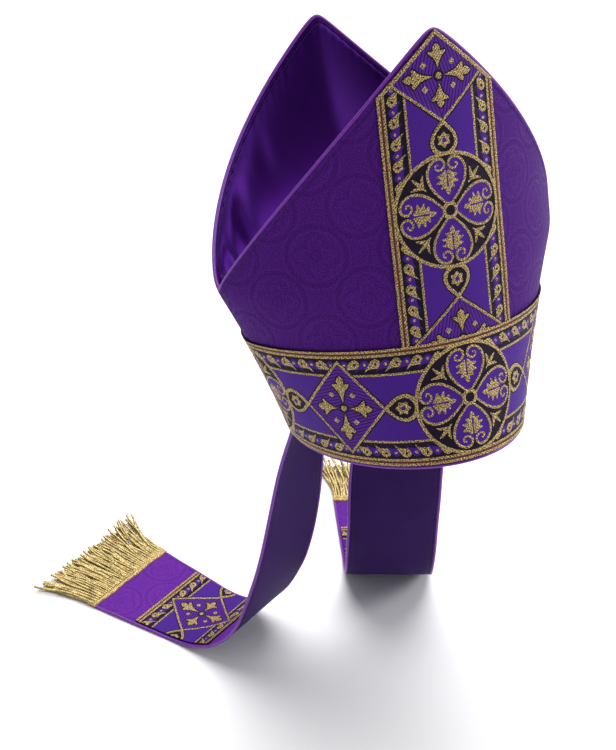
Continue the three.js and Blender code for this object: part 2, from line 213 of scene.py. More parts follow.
def wall(name, outer, inner, uv, materials):
    """A closed sheet between two grids of points, its outer face in the first material."""
    rows, columns = outer.shape[:2]
    near = np.arange(rows * columns).reshape(rows, columns)
    far = near + rows * columns
    faces, indices = [], []

    def strip(a, b, c, d, index):
        quads = np.stack([a.ravel(), b.ravel(), c.ravel(), d.ravel()], axis=1)
        faces.extend(quads.tolist())
        indices.extend([index] * len(quads))

    strip(near[:-1, :-1], near[:-1, 1:], near[1:, 1:], near[1:, :-1], 0)
    strip(far[:-1, :-1], far[1:, :-1], far[1:, 1:], far[:-1, 1:], 1)
    strip(near[0, :-1], far[0, :-1], far[0, 1:], near[0, 1:], 0)
    strip(near[-1, :-1], near[-1, 1:], far[-1, 1:], far[-1, :-1], 0)
    strip(near[:-1, 0], near[1:, 0], far[1:, 0], far[:-1, 0], 0)
    strip(near[:-1, -1], far[:-1, -1], far[1:, -1], near[1:, -1], 0)
    points = np.concatenate([outer.reshape(-1, 3), inner.reshape(-1, 3)])
    thing = mesh_object(name, points, faces, materials, np.concatenate([uv, uv]), indices)
    turn_outwards(thing)
    return thing


def turn_outwards(thing):
    """Turns a closed mesh's faces over if they enclose a negative volume."""
    work = bmesh.new()
    work.from_mesh(thing.data)
    if work.calc_volume(signed=True) < 0:
        bmesh.ops.reverse_faces(work, faces=work.faces)
        work.to_mesh(thing.data)
    work.free()


class Link:
    """One output of a node. Sums, products and comparisons with it add Math nodes."""

    def __init__(self, nodes, socket):
        self.nodes = nodes
        self.socket = socket

    def out(self, name):
        return Link(self.nodes, self.socket.node.outputs[name])

    def math(self, operation, *others):
        return self.nodes.math(operation, self, *others)

    def __add__(self, other):
        return self.math("ADD", other)

    def __radd__(self, other):
        return self.math("ADD", other)

    def __sub__(self, other):
        return self.math("SUBTRACT", other)

    def __rsub__(self, other):
        return self.nodes.math("SUBTRACT", other, self)

    def __mul__(self, other):
        return self.math("MULTIPLY", other)

    def __rmul__(self, other):
        return self.math("MULTIPLY", other)

    def __truediv__(self, other):
        return self.math("DIVIDE", other)

    def __abs__(self):
        return self.math("ABSOLUTE")

    def waves(self, pitch):
        """Even waves along this distance, from 0 to 1."""
        return (self * (2 * math.pi / pitch)).math("SINE") * 0.5 + 0.5


class Nodes:
    """A node tree being filled."""

    def __init__(self, tree):
        self.tree = tree

    def node(self, kind, settings=None, inputs=None, out=0):
        """Adds a node of a type, with its settings, and the values or links of its sockets."""
        made = self.tree.nodes.new(kind)
        for name, value in (settings or {}).items():
            setattr(made, name, value)
        for name, value in (inputs or {}).items():
            if isinstance(value, Link):
                self.tree.links.new(value.socket, made.inputs[name])
            else:
                made.inputs[name].default_value = value
        return Link(self, made.outputs[out]) if len(made.outputs) else None

    def math(self, operation, *values):
        return self.node("ShaderNodeMath", {"operation": operation}, dict(enumerate(values)))


class Finish(Nodes):
    """A material: a Principled surface whose constants are set on its own sockets."""

    def __init__(self, name, **constants):
        self.material = bpy.data.materials.new(name)
        self.material.use_nodes = True
        super().__init__(self.material.node_tree)
        self.surface = self.tree.nodes["Principled BSDF"]
        for socket, value in constants.items():
            self.surface.inputs[socket.replace("_", " ")].default_value = value

    def feed(self, name, link):
        self.tree.links.new(link.socket, self.surface.inputs[name])

    def flat_place(self):
        """Where a point lies on the flat cloth, in millimetres, along and across."""
        flat = self.node("ShaderNodeUVMap", {"uv_map": "flat"})
        parts = self.node("ShaderNodeSeparateXYZ", {}, {"Vector": flat})
        return parts * (1 / MM), parts.out("Y") * (1 / MM)

    def grain(self, x, y, size, detail=2.0):
        """Soft noise of about a size in millimetres over a flat place, from 0 to 1."""
        where = self.node("ShaderNodeCombineXYZ", {}, {"X": x / size, "Y": y / size})
        inputs = {"Vector": where, "Scale": 1.0, "Detail": detail}
        return self.node("ShaderNodeTexNoise", {"noise_dimensions": "2D"}, inputs)

    def speckle(self, scale, detail=1.0):
        """Soft noise through the piece itself, at a scale in repeats a metre, from 0 to 1."""
        place = self.node("ShaderNodeTexCoord").out("Object")
        return self.node("ShaderNodeTexNoise", {}, {"Vector": place, "Scale": scale, "Detail": detail})

    def mix(self, share, first, second):
        return self.node(
            "ShaderNodeMix", {"data_type": "RGBA", "clamp_factor": True}, {0: share, 6: first, 7: second}, 2
        )

    def bump(self, height, distance):
        """height is in millimetres when distance is one millimetre."""
        bump = self.node("ShaderNodeBump", {}, {"Strength": 1.0, "Distance": distance, "Height": height})
        self.feed("Normal", bump)


def dye(red, green, blue):
    """A colour from 8-bit values to the renderer's own."""
    parts = [v / 255 for v in (red, green, blue)]
    return [v / 12.92 if v <= 0.04045 else ((v + 0.055) / 1.055) ** 2.4 for v in parts] + [1.0]


ROUNDEL_PITCH = 63.0                # between the middles of the damask's roundels


def damask_finish(name, tones):
    """Violet damask: dark-ringed roundels with a rosette in each, tone on tone, on a grainy ground."""
    made = Finish(name, Specular_IOR_Level=0.05)
    x, y = made.flat_place()

    def line(distance, half):
        return (1 - abs(distance) / half).math("MAXIMUM", 0.0)

    def roundel(shift):
        u = (x - shift).math("WRAP", ROUNDEL_PITCH / 2, -ROUNDEL_PITCH / 2)
        v = (y - shift).math("WRAP", ROUNDEL_PITCH / 2, -ROUNDEL_PITCH / 2)
        radius = (u * u + v * v).math("SQRT")
        angle = v.math("ARCTAN2", u)
        petals = abs((angle * 2.0).math("COSINE"))
        leaves = abs((angle * 4.0).math("SINE"))
        band = line(radius - 20.6, 2.2) + line(radius - 8.0 - 8.0 * petals, 1.0) + line(radius - 3.4, 1.0)
        light = line(radius - 23.2, 0.8) + line(radius - 17.6, 0.8) + line(radius - 5.5 - 6.0 * petals, 1.3)
        return band, light + line(radius - 14.0 - 3.0 * leaves, 1.1)

    first, second = roundel(0.0), roundel(ROUNDEL_PITCH / 2)
    dark = (first[0] + second[0]).math("MINIMUM", 1.0)
    light = (first[1] + second[1]).math("MINIMUM", 1.0)
    thread = made.grain(x * 0.6, y, 0.8, 3.0) * 2.2 - 0.6
    cloud = made.grain(x, y, 45.0)
    ground, raised, shade = tones
    toned = made.mix(light * 0.18 + thread * 0.6, ground, raised)
    made.feed("Base Color", made.mix(dark * 0.24 + cloud * 0.2 - thread * 0.4 + 0.2, toned, shade))
    made.feed("Roughness", 0.62 - light * 0.1)
    made.bump(light * 0.04 - dark * 0.04 + thread * 0.16, MM)
    return made.material


def satin_finish(name, dark, light, roughness, gleam):
    """Smooth satin, with fine warp threads and a soft change of tone."""
    sheen = {"Sheen_Weight": 0.6 * gleam, "Sheen_Roughness": 0.36}
    made = Finish(name, Metallic=gleam, Specular_IOR_Level=0.06, **sheen)
    made.surface.inputs["Sheen Tint"].default_value = dye(140, 60, 214)
    x, y = made.flat_place()
    thread = made.grain(x * 0.12, y, 0.5)
    cloud = made.grain(x, y, 30.0)
    made.feed("Base Color", made.mix(cloud * 0.5 + thread * 0.3, dark, light))
    made.feed("Roughness", roughness + thread * 0.1)
    made.bump(thread * 0.03, MM)
    return made.material


# One damask in two sets of tones: the horns' darker tones are painted shade on the upright horns, and the
# lappets' lighter tones are painted light where they lie.
damask = damask_finish("horn damask", (dye(60, 17, 100), dye(90, 34, 136), dye(36, 6, 66)))
lining = satin_finish("horn lining", dye(50, 12, 86), dye(66, 20, 112), 0.5, 0.3)


def pressed(distance):
    """How far the stitches sink the cloth at a distance from the outside of the piping."""
    return GROOVE["depth"] * np.exp(-(((distance - GROOVE["at"]) / GROOVE["half"]) ** 2))


def horn(side):
    shell = shells[side]
    shares = np.sin(np.linspace(-math.pi / 2, math.pi / 2, HORN_COLUMNS))
    top = edge_height(side, shares)
    near_edge = np.array(ROWS_AT_GROOVE)
    body = np.linspace(0, 1, HORN_ROWS)[:, None] * (top - near_edge[0] * EDGE_STEEPNESS)
    z = np.concatenate([body, top - near_edge[1:, None] * EDGE_STEEPNESS])
    share = np.broadcast_to(shares, z.shape)
    distance = (top - z) / EDGE_STEEPNESS
    arc = share * shell.girth_at(z)
    to_seam = shell.girth_at(z) - np.abs(arc)
    seam = SIDE_SEAM["depth"] * np.exp(-((to_seam / SIDE_SEAM["half"]) ** 2)) * (z < CORNER_HEIGHT)
    outer = leaning(shell.point(share, z, pressed(distance) + seam))
    inner = leaning(shell.point(share, z, HORN_WALL))
    flat = np.stack([arc, z], axis=-1).reshape(-1, 2) * MM
    return wall(f"{side}_horn", outer, inner, flat, [damask, lining])


def flat_area(thing):
    """The flat area of a sheet's first material, from the places of its corners on the cloth."""
    mesh = thing.data
    uv = np.zeros(2 * len(mesh.loops))
    mesh.uv_layers["flat"].data.foreach_get("uv", uv)
    uv = uv.reshape(-1, 2)
    total = 0.0
    for face in mesh.polygons:
        if face.material_index == 0:
            ring = uv[face.loop_start:face.loop_start + face.loop_total]
            ahead = np.roll(ring, -1, axis=0)
            total += abs((ring[:, 0] * ahead[:, 1] - ring[:, 1] * ahead[:, 0]).sum()) / 2
    return total


horns = {}
for side in ("front", "back"):
    horns[side] = horn(side)
    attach(horns[side], "root")
    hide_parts(f"horn_{side}")
    cut = (2 * CORNER_GIRTH * MM, PEAK_HEIGHT * MM)
    flat_area(horns[side])


# ---- The crown web --------------------------------------------------------------------------
# One sheet of glossy violet satin joins the two horns and hangs between them in a trough. It is
# caught into the piped edges, puckers a little along its stitches, and folds near the corners.

WEB_INSET = {"edge": 2.5, "stitch": 3.6}
WEB_EDGE_ROWS = (2.6, 3.2, 3.8, 4.4, 5.0, 5.6)      # from the outside of the piping, inwards
WEB_REACH = 0.985                   # how near the corners the web comes, as a share
WEB_SLACK = 16.0                    # spare length in each half of a crosswise strip
WEB_LEAST_DEPTH = 0.25              # of a half strip's length, where it is short
WEB_CLEAR = 2.0                     # kept between the web and the level of the corners
WEB_COLUMNS = 221
WEB_ROWS = 120
SATIN_WALL = 0.9
PUCKER = {"height": 0.5, "reach": 6.5, "pitch": 7.5, "seed": 11}
FOLD = {"height": 4.6, "pitch": 25.0, "reach": 78.0, "seed": 5, "bias": 0.45}
FOLDED_FROM = {"share": 0.3, "fade": 0.3}       # of the way to a corner
FOLD_SWAY = {"width": 5.0, "over": 24.0}
STITCH_DIP = {"depth": 0.5, "half": 0.8}
SHORT_STRIP = 40.0                  # a strip shorter than this has lower folds


def ripple(position, pitch, seed):
    """An uneven wave along a seam, from -1 to 1."""
    draw = np.random.default_rng(seed)
    total = np.zeros_like(position)
    for octave in range(5):
        stretch = pitch * draw.uniform(0.65, 1.7)
        total += np.sin(2 * math.pi * (position / stretch + draw.uniform())) / (1 + 0.4 * octave)
    return total / 2.6


def web_edge(side, share, distance, inset):
    z = edge_height(side, share) - distance * EDGE_STEEPNESS
    return shells[side].point(share, z, inset)


def crown_web():
    shares = np.sin(np.linspace(-1, 1, WEB_COLUMNS) * math.asin(WEB_REACH))
    front = web_edge("front", shares, GROOVE["at"], WEB_INSET["stitch"])
    back = web_edge("back", shares, GROOVE["at"], WEB_INSET["stitch"])
    reach = (back[:, 1] - front[:, 1]) / 2
    length = edge_height("front", shares) - CORNER_HEIGHT + WEB_SLACK
    sag = np.sqrt(np.maximum(2 * (2 * length / math.pi) ** 2 - reach**2, (WEB_LEAST_DEPTH * length) ** 2))
    depth = np.minimum(sag, np.maximum(front[:, 2] - CORNER_HEIGHT - WEB_CLEAR, 0))
    angle = np.linspace(-math.pi / 2, math.pi / 2, WEB_ROWS)[:, None]
    middle = front + (back - front) * ((np.sin(angle) + 1) / 2)[..., None]
    middle[..., 2] -= depth * np.cos(angle)
    edges = {}
    for side in ("front", "back"):
        share_in = np.linspace(0, 1, len(WEB_EDGE_ROWS))
        insets = WEB_INSET["edge"] + (WEB_INSET["stitch"] - WEB_INSET["edge"]) * share_in
        edges[side] = np.stack(
            [web_edge(side, shares, d, i) for d, i in zip(WEB_EDGE_ROWS[:-1], insets[:-1])]
        )
    points = np.concatenate([edges["front"], middle, edges["back"][::-1]])
    steps = np.linalg.norm(np.diff(points, axis=0), axis=2)
    down = np.concatenate([np.zeros((1, WEB_COLUMNS)), np.cumsum(steps, axis=0)])
    along = shares * CORNER_GIRTH
    normals = np.cross(np.gradient(points, axis=1), np.gradient(points, axis=0))
    normals /= np.maximum(np.linalg.norm(normals, axis=2, keepdims=True), 1e-9)
    stitch = WEB_EDGE_ROWS[-1] - WEB_EDGE_ROWS[0]
    lift = np.zeros_like(down)
    near_corner = np.clip((np.abs(shares) - FOLDED_FROM["share"]) / FOLDED_FROM["fade"], 0, 1)
    for number, from_edge in enumerate((down, down[-1] - down)):
        beyond = np.maximum(from_edge - stitch, 0)
        eased_in = np.minimum(from_edge / stitch, 1)
        fine = PUCKER["height"] * ripple(along, PUCKER["pitch"], PUCKER["seed"] + number)
        fine = fine * np.exp(-beyond / PUCKER["reach"])
        swing = along + FOLD_SWAY["width"] * np.sin(from_edge / FOLD_SWAY["over"] + number)
        wave = ripple(swing, FOLD["pitch"], FOLD["seed"] + number) + FOLD["bias"]
        rise = np.sin(math.pi * np.minimum(beyond / FOLD["reach"], 1)) ** 2
        broad = FOLD["height"] * np.clip(wave, 0, None) ** 1.5 * near_corner * rise
        lift += fine * eased_in + broad
        lift -= STITCH_DIP["depth"] * np.exp(-(((from_edge - stitch) / STITCH_DIP["half"]) ** 2))
    lift *= np.minimum(down[-1] / SHORT_STRIP, 1)
    top = points + normals * lift[..., None]
    bottom = points - normals * SATIN_WALL
    uv = np.stack([np.broadcast_to(along, down.shape), down], axis=-1).reshape(-1, 2) * MM
    return wall("crown_satin", leaning(top), leaning(bottom), uv, [web_satin, web_satin])


web_satin = satin_finish("crown satin", dye(42, 8, 75), dye(60, 14, 104), 0.43, 0.75)
web = crown_web()
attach(web, "root")
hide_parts("crown_web")
flat_area(web)


# ---- The galloon ----------------------------------------------------------------------------
# A woven band 88 mm wide: gold threads stand a little proud of black, violet and ribbed violet
# grounds. It repeats a lozenge with four fleurs and a medallion with four hearts, an eye between
# them, and a strip of paisleys inside each double edge.

GALLOON = 88.0
EDGE = GALLOON / 2
GALLOON_WALL = 1.4
HALF_REPEAT = 89.76                 # middle of a lozenge to middle of the medallion
THREADS = ("gold", "black", "twill", "ribbed", "brown")
RELIEF = 0.38                       # how proud the gold stands
RELIEF_EDGE = 0.8                   # how far in from its edge it has its full height
OUTLINE_STEP = 1.15                 # between points along the figures' outlines
GOLD_FILL = {"step": 1.2, "clear": 0.5, "least_depth": 0.4}      # points inside gold figures
GROUND_FILL = {"step": 4.4, "clear": 1.6}                        # points on the grounds


def smooth_line(points, closed=False, step=OUTLINE_STEP):
    """A smooth line through a few points, with a point about every step."""
    knots = np.asarray(points, float)
    count = len(knots)
    if closed:
        padded = np.concatenate([knots[-1:], knots, knots[:2]])
        spans = count
    else:
        padded = np.concatenate([2 * knots[:1] - knots[1:2], knots, 2 * knots[-1:] - knots[-2:-1]])
        spans = count - 1
    line = []
    for i in range(spans):
        a, b, c, d = padded[i:i + 4]
        pieces = max(int(math.ceil(np.linalg.norm(c - b) / step)), 1)
        bend = 2 * a - 5 * b + 4 * c - d
        twist = 3 * b - a - 3 * c + d
        for t in np.arange(pieces) / pieces:
            line.append(0.5 * (2 * b + (c - a) * t + bend * t**2 + twist * t**3))
    if not closed:
        line.append(knots[-1])
    return np.array(line)


def straight(points, step=OUTLINE_STEP):
    """A closed outline with straight sides, with a point about every step."""
    outline = []
    for a, b in zip(points, points[1:] + points[:1]):
        pieces = max(int(math.ceil(math.dist(a, b) / step)), 1)
        outline += [np.array(a) + (np.array(b) - np.array(a)) * k / pieces for k in range(pieces)]
    return np.array(outline)


def ellipse(centre, along, across=None):
    across = along if across is None else across
    count = max(int(2 * math.pi * max(along, across) / OUTLINE_STEP), 10)
    angle = (np.arange(count) + 0.5) * 2 * math.pi / count
    return np.stack([centre[0] + along * np.cos(angle), centre[1] + across * np.sin(angle)], axis=1)


def stroke(line, width):
    """The outline of a line drawn with a width, or with widths that change evenly along it."""
    line = np.asarray(line, float)
    marks = np.linspace(0, 1, np.size(width))
    half = np.interp(np.linspace(0, 1, len(line)), marks, np.atleast_1d(width)) / 2
    ahead = np.gradient(line, axis=0)
    ahead /= np.linalg.norm(ahead, axis=1, keepdims=True)
    side = np.stack([-ahead[:, 1], ahead[:, 0]], axis=1) * half[:, None]
    return np.concatenate([line + side, (line - side)[::-1]])


def turned(outline, centre, angle, flip=False):
    """Moves an outline drawn outwards along +s from a centre to another direction."""
    s, t = outline[:, 0], outline[:, 1] * (-1 if flip else 1)
    c, d = math.cos(angle), math.sin(angle)
    return np.stack([centre[0] + c * s - d * t, centre[1] + d * s + c * t], axis=1)


def both_halves(half):
    """A closed outline from its half with t above 0, given from one end of the axis to the other."""
    mirrored = [(s, -t) for s, t in reversed(half) if abs(t) > 1e-9]
    return list(half) + mirrored


LOZENGE = {"along": 29.7, "across": 35.4, "line": 1.8, "shade": (32.4, 38.4)}
FLEUR = (
    (0.0, 0.0), (0.15, 0.14), (0.3, 0.27), (0.45, 0.5), (0.57, 0.84), (0.65, 1.0), (0.7, 0.82),
    (0.68, 0.5), (0.71, 0.33), (0.79, 0.43), (0.88, 0.34), (0.95, 0.17), (1.0, 0.0),
)
FLEURS = ((0.0, 5.3, 20.8, 6.6), (math.pi / 2, 5.0, 25.6, 6.3))  # direction, start, end, half width
HALO = 2.1                          # the dark line round a fleur
LOZENGE_HUB = (("black", 4.1), ("gold", 2.3))
GEM = ((5.4, 10.5), (7.8, 8.1), (10.2, 10.5), (7.8, 12.9))
HEART = (
    (5.4, 2.4), (9.6, 6.6), (15.0, 11.0), (21.0, 13.9), (27.2, 14.4), (32.6, 11.8), (35.4, 7.4),
    (34.8, 3.2), (31.6, 1.5), (28.6, 2.9), (27.6, 5.8), (29.0, 8.2), (31.2, 7.8), (31.4, 5.9),
)
LOBE_KNOTS = 9                      # those before the heart's line curls in
CURL_WIDTHS = (1.4, 1.7, 1.9, 1.9, 1.8, 1.6, 1.1)
LEAF = (
    (10.5, 0.0), (12.5, 1.6), (15.0, 2.1), (15.2, 5.4), (18.0, 4.1), (18.9, 8.4), (21.5, 5.2),
    (23.6, 8.2), (25.0, 4.4), (26.6, 2.4), (26.4, 0.6), (16.5, 0.6), (15.5, 0.0),
)
SPRIG = (
    (((22.5, 0.0), (26.0, 0.0), (30.5, 0.0), (35.6, 0.0)), (0.7, 1.5, 2.8, 2.3, 0.7)),
    (((25.2, 0.3), (27.4, 1.7), (29.4, 3.6), (31.2, 6.6)), (0.9, 1.7, 2.2, 1.8, 0.6)),
    (((25.2, -0.3), (27.4, -1.7), (29.4, -3.6), (31.2, -6.6)), (0.9, 1.7, 2.2, 1.8, 0.6)),
)
DROP = (                            # a paisley about the middle of its head, its tail to -s and -t
    (-7.4, -5.8), (-5.0, -1.8), (-2.8, 1.6), (0.0, 3.3), (2.8, 1.9), (3.4, -0.8), (1.6, -3.0),
    (-1.4, -3.3), (-4.6, -3.8),
)
SPRIG_HEADING = math.radians(134)
MEDALLION = {"along": 39.6, "across": 40.6, "line": 2.4}
MEDALLION_HUB = (("gold", 6.0), ("black", 3.5))
EYE_DROP = (                        # half of the eye about its middle, its point towards the lozenge
    (-12.6, 0.0), (-9.0, 4.2), (-4.0, 8.4), (2.0, 10.3), (7.4, 8.6), (10.6, 4.4), (11.4, 0.0),
)
EYE_RINGS = (("black", 1.08), ("gold", 1.0), ("black", 0.74))
EYE_AT = 41.7                       # middle of the lozenge to middle of the eye
ROSETTE = {"at": 0.6, "radius": 4.5, "petal": 0.8, "petals": 6, "points": 30, "heart": 1.7}
PAISLEY = {"pitch": 14.4, "first": 12.0, "head": 33.9, "count": 7, "size": 1.06}
LINES_ACROSS = {"field": (-2, 24.5), "inner": (24.6, 26.3), "brown": (40.6, 42.1), "outer": (42.1, 46)}
ROPE_AT = {"low": 38.7, "width": 1.9}
OVERRUN = 2                         # how far the drawing runs past the quarter's sides


def motifs():
    """(thread, outline) from the lowest to the topmost, for a quarter of the repeat.

    They are in millimetres, s along the band from the middle of a lozenge and t across it from
    its centre line.
    """
    middle = (HALF_REPEAT, 0.0)
    eye = np.array([EYE_AT, 0.0])
    layers = []

    def add(thread, outline):
        layers.append((thread, outline))

    def strip(low, high, step):
        right = HALF_REPEAT + OVERRUN
        return straight([(-OVERRUN, low), (right, low), (right, high), (-OVERRUN, high)], step)

    def diamond(along, across):
        return straight([(-along, 0), (0, -across), (along, 0), (0, across)])

    add("black", strip(-OVERRUN, EDGE + OVERRUN, 400))
    add("twill", strip(*LINES_ACROSS["field"], 4))
    add("gold", strip(*LINES_ACROSS["inner"], 1.5))
    for k in range(PAISLEY["count"]):
        at = PAISLEY["first"] + k * PAISLEY["pitch"]
        drop = smooth_line(DROP, closed=True, step=0.9) * PAISLEY["size"]
        violet_head = (at - PAISLEY["pitch"] / 2, PAISLEY["head"] - 0.3)
        add("twill", drop * 0.9 + np.array(violet_head))
        add("gold", ellipse(violet_head, 1.15))
        add("gold", drop + np.array((at, PAISLEY["head"])))
        add("black", ellipse((at + 0.3, PAISLEY["head"] + 0.1), 0.95))
    add("black", diamond(*LOZENGE["shade"]))
    add("ribbed", diamond(LOZENGE["along"], LOZENGE["across"]))
    for angle, start, end, half in FLEURS:
        shape = both_halves([(start + (end - start) * u, half * v) for u, v in FLEUR])
        outline = smooth_line(shape, closed=True, step=0.9)
        halo = np.concatenate([outline, outline[:1]])
        add("black", turned(stroke(halo, HALO), (0, 0), angle))
        add("gold", turned(outline, (0, 0), angle))
    for thread, radius in LOZENGE_HUB:
        add(thread, ellipse((0, 0), radius))
    add("gold", straight(list(GEM), 1.0))
    # The eye, whose sides run on from the lozenge's lines.
    drop = smooth_line(both_halves(EYE_DROP), closed=True, step=0.9)
    for thread, scale in EYE_RINGS:
        add(thread, drop * scale + eye)
    petals = [
        (ROSETTE["radius"] + ROSETTE["petal"] * math.cos(ROSETTE["petals"] * a))
        * np.array([math.cos(a), math.sin(a)])
        for a in np.arange(ROSETTE["points"]) * 2 * math.pi / ROSETTE["points"]
    ]
    add("gold", np.array(petals) + eye + np.array([ROSETTE["at"], 0.0]))
    add("twill", ellipse((EYE_AT + ROSETTE["at"], 0.0), ROSETTE["heart"]))
    slope = np.array([LOZENGE["along"], -LOZENGE["across"]])
    slope = slope / math.hypot(LOZENGE["along"], LOZENGE["across"])
    line_start = np.array([0.0, LOZENGE["across"] + 0.6]) - slope * 2.0
    line_end = np.array([LOZENGE["along"], 0.0]) + slope * 4.5
    pieces = int(np.linalg.norm(line_end - line_start) / 1.3)
    line = line_start + (line_end - line_start) * np.linspace(0, 1, pieces)[:, None]
    add("gold", stroke(line, LOZENGE["line"]))
    # The medallion, its four hearts and the sprigs between them.
    add("gold", ellipse(middle, MEDALLION["along"], MEDALLION["across"]))
    ground = (MEDALLION["along"] - MEDALLION["line"], MEDALLION["across"] - MEDALLION["line"])
    add("black", ellipse(middle, *ground))
    for angle in (math.pi, math.pi / 2):
        for flip in (False, True):
            lobe = smooth_line(HEART[:LOBE_KNOTS], step=1.0)
            filled = np.concatenate([lobe, [[30.0, 0.0], [6.4, 0.0]]])
            add("twill", turned(filled, middle, angle, flip))
        for flip in (False, True):
            curl = stroke(smooth_line(HEART, step=1.0), CURL_WIDTHS)
            add("gold", turned(curl, middle, angle, flip))
            add("gold", turned(smooth_line(LEAF, closed=True, step=0.9), middle, angle, flip))
    for prong, widths in SPRIG:
        add("gold", turned(stroke(smooth_line(prong), widths), middle, SPRIG_HEADING))
    for thread, radius in MEDALLION_HUB:
        add(thread, ellipse(middle, radius))
    # The double edge lies over everything.
    add("gold", strip(ROPE_AT["low"], ROPE_AT["low"] + ROPE_AT["width"], 1.4))
    add("brown", strip(*LINES_ACROSS["brown"], 2.8))
    add("gold", strip(*LINES_ACROSS["outer"], 1.4))
    return layers


def depth_in(outline, points):
    """How far inside a closed outline each point is, and 0 outside it."""
    depth = np.zeros(len(points))
    low, high = outline.min(0), outline.max(0)
    near = np.flatnonzero(((points > low) & (points < high)).all(1))
    if not len(near):
        return depth
    start, end = outline, np.roll(outline, -1, axis=0)
    side = end - start
    away = points[near][:, None] - start[None]
    along = np.clip((away * side).sum(2) / np.maximum((side**2).sum(1), 1e-12), 0, 1)
    gap = np.linalg.norm(away - along[..., None] * side, axis=2).min(1)
    turn = side[:, 0] * away[..., 1] - side[:, 1] * away[..., 0]
    height = points[near][:, None, 1]
    rising = (start[:, 1] <= height) & (end[:, 1] > height) & (turn > 0)
    falling = (start[:, 1] > height) & (end[:, 1] <= height) & (turn < 0)
    inside = rising.sum(1) != falling.sum(1)
    depth[near] = np.where(inside, gap, 0)
    return depth


def quarter_repeat():
    """Flat points with their heights, triangles, and the thread of each, for a quarter repeat."""
    layers = motifs()
    sides_of = straight([(0, 0), (HALF_REPEAT, 0), (HALF_REPEAT, EDGE), (0, EDGE)], 2.0)
    points, edges = [], []
    for outline in [outline for thread, outline in layers[1:]] + [sides_of]:
        first = len(points)
        count = len(outline)
        points += outline.tolist()
        edges += [(first + i, first + (i + 1) % count) for i in range(count)]
    lines = np.array(points)

    def filling(step, clear):
        s, t = np.meshgrid(np.arange(step / 2, HALF_REPEAT, step), np.arange(step / 2, EDGE, step))
        spots = np.stack([s.ravel(), t.ravel()], axis=1)
        gap = np.concatenate([
            np.linalg.norm(part[:, None] - lines[None], axis=2).min(1) for part in np.array_split(spots, 12)
        ])
        return spots[gap > clear]

    def gold_depth(spots):
        depth = np.zeros(len(spots))
        for thread, outline in layers:
            here = depth_in(outline, spots)
            depth = np.maximum(depth, here) if thread == "gold" else np.where(here > 1e-6, 0, depth)
        return depth

    fine = filling(GOLD_FILL["step"], GOLD_FILL["clear"])
    fine = fine[gold_depth(fine) > GOLD_FILL["least_depth"]]
    coarse = filling(GROUND_FILL["step"], GROUND_FILL["clear"])
    everything = [Vector(p) for p in (*points, *fine, *coarse)]
    found = geometry.delaunay_2d_cdt(everything, edges, [], 0, 1e-3, False)
    spots = np.array([tuple(v) for v in found[0]])
    triangles = np.array([f for f in found[2] if len(f) == 3])
    centres = spots[triangles].mean(1)
    kept = (centres > 0).all(1) & (centres[:, 0] < HALF_REPEAT) & (centres[:, 1] < EDGE)
    triangles, centres = triangles[kept], centres[kept]
    threads = np.zeros(len(triangles), int)
    for thread, outline in layers:
        threads[depth_in(outline, centres) > 0] = THREADS.index(thread)
    rise = np.minimum(gold_depth(spots) / RELIEF_EDGE, 1)
    heights = RELIEF * np.sqrt(rise * (2 - rise))
    spots[:, 0] = np.clip(spots[:, 0], 0, HALF_REPEAT)
    spots[:, 1] = np.clip(spots[:, 1], 0, EDGE)
    return np.column_stack([spots, heights]), triangles, threads


quarter = quarter_repeat()


def flat_band(start, stop):
    """The flat band from one place along it to another: x along, y across, z the relief."""
    points, triangles, threads = quarter
    all_points, all_triangles, all_threads = [], [], []
    count = 0
    for k in range(math.floor(start / HALF_REPEAT), math.ceil(stop / HALF_REPEAT)):
        for across in (1, -1):
            placed = points.copy()
            if k % 2 == 0:
                placed[:, 0] = k * HALF_REPEAT + points[:, 0]
            else:
                placed[:, 0] = (k + 1) * HALF_REPEAT - points[:, 0]
            placed[:, 1] *= across
            flipped = (k % 2 == 1) != (across == -1)
            all_points.append(placed)
            all_triangles.append((triangles[:, ::-1] if flipped else triangles) + count)
            all_threads.append(threads)
            count += len(points)
    joined = np.concatenate(all_points)
    flat = np.round(joined[:, :2], 3)
    first, where = np.unique(flat, axis=0, return_index=True, return_inverse=True)[1:]
    where = where.ravel()
    faces = where[np.concatenate(all_triangles)]
    solid = (faces[:, 0] != faces[:, 1]) & (faces[:, 1] != faces[:, 2]) & (faces[:, 0] != faces[:, 2])
    mesh = bpy.data.meshes.new("band")
    mesh.from_pydata(joined[first].tolist(), [], faces[solid].tolist())
    mesh.polygons.foreach_set("material_index", np.concatenate(all_threads)[solid].astype(np.int32))
    band = bmesh.new()
    band.from_mesh(mesh)
    bpy.data.meshes.remove(mesh)
    cut(band, (start, 0), (-1, 0))
    cut(band, (stop, 0), (1, 0))
    return band


def cut(band, through, outward, clear=True):
    """Cuts the flat band along a line, and clears what lies outward of it."""
    bmesh.ops.bisect_plane(
        band, geom=band.verts[:] + band.edges[:] + band.faces[:], dist=1e-4,
        plane_co=(*through, 0), plane_no=(*outward, 0), clear_outer=clear,
    )


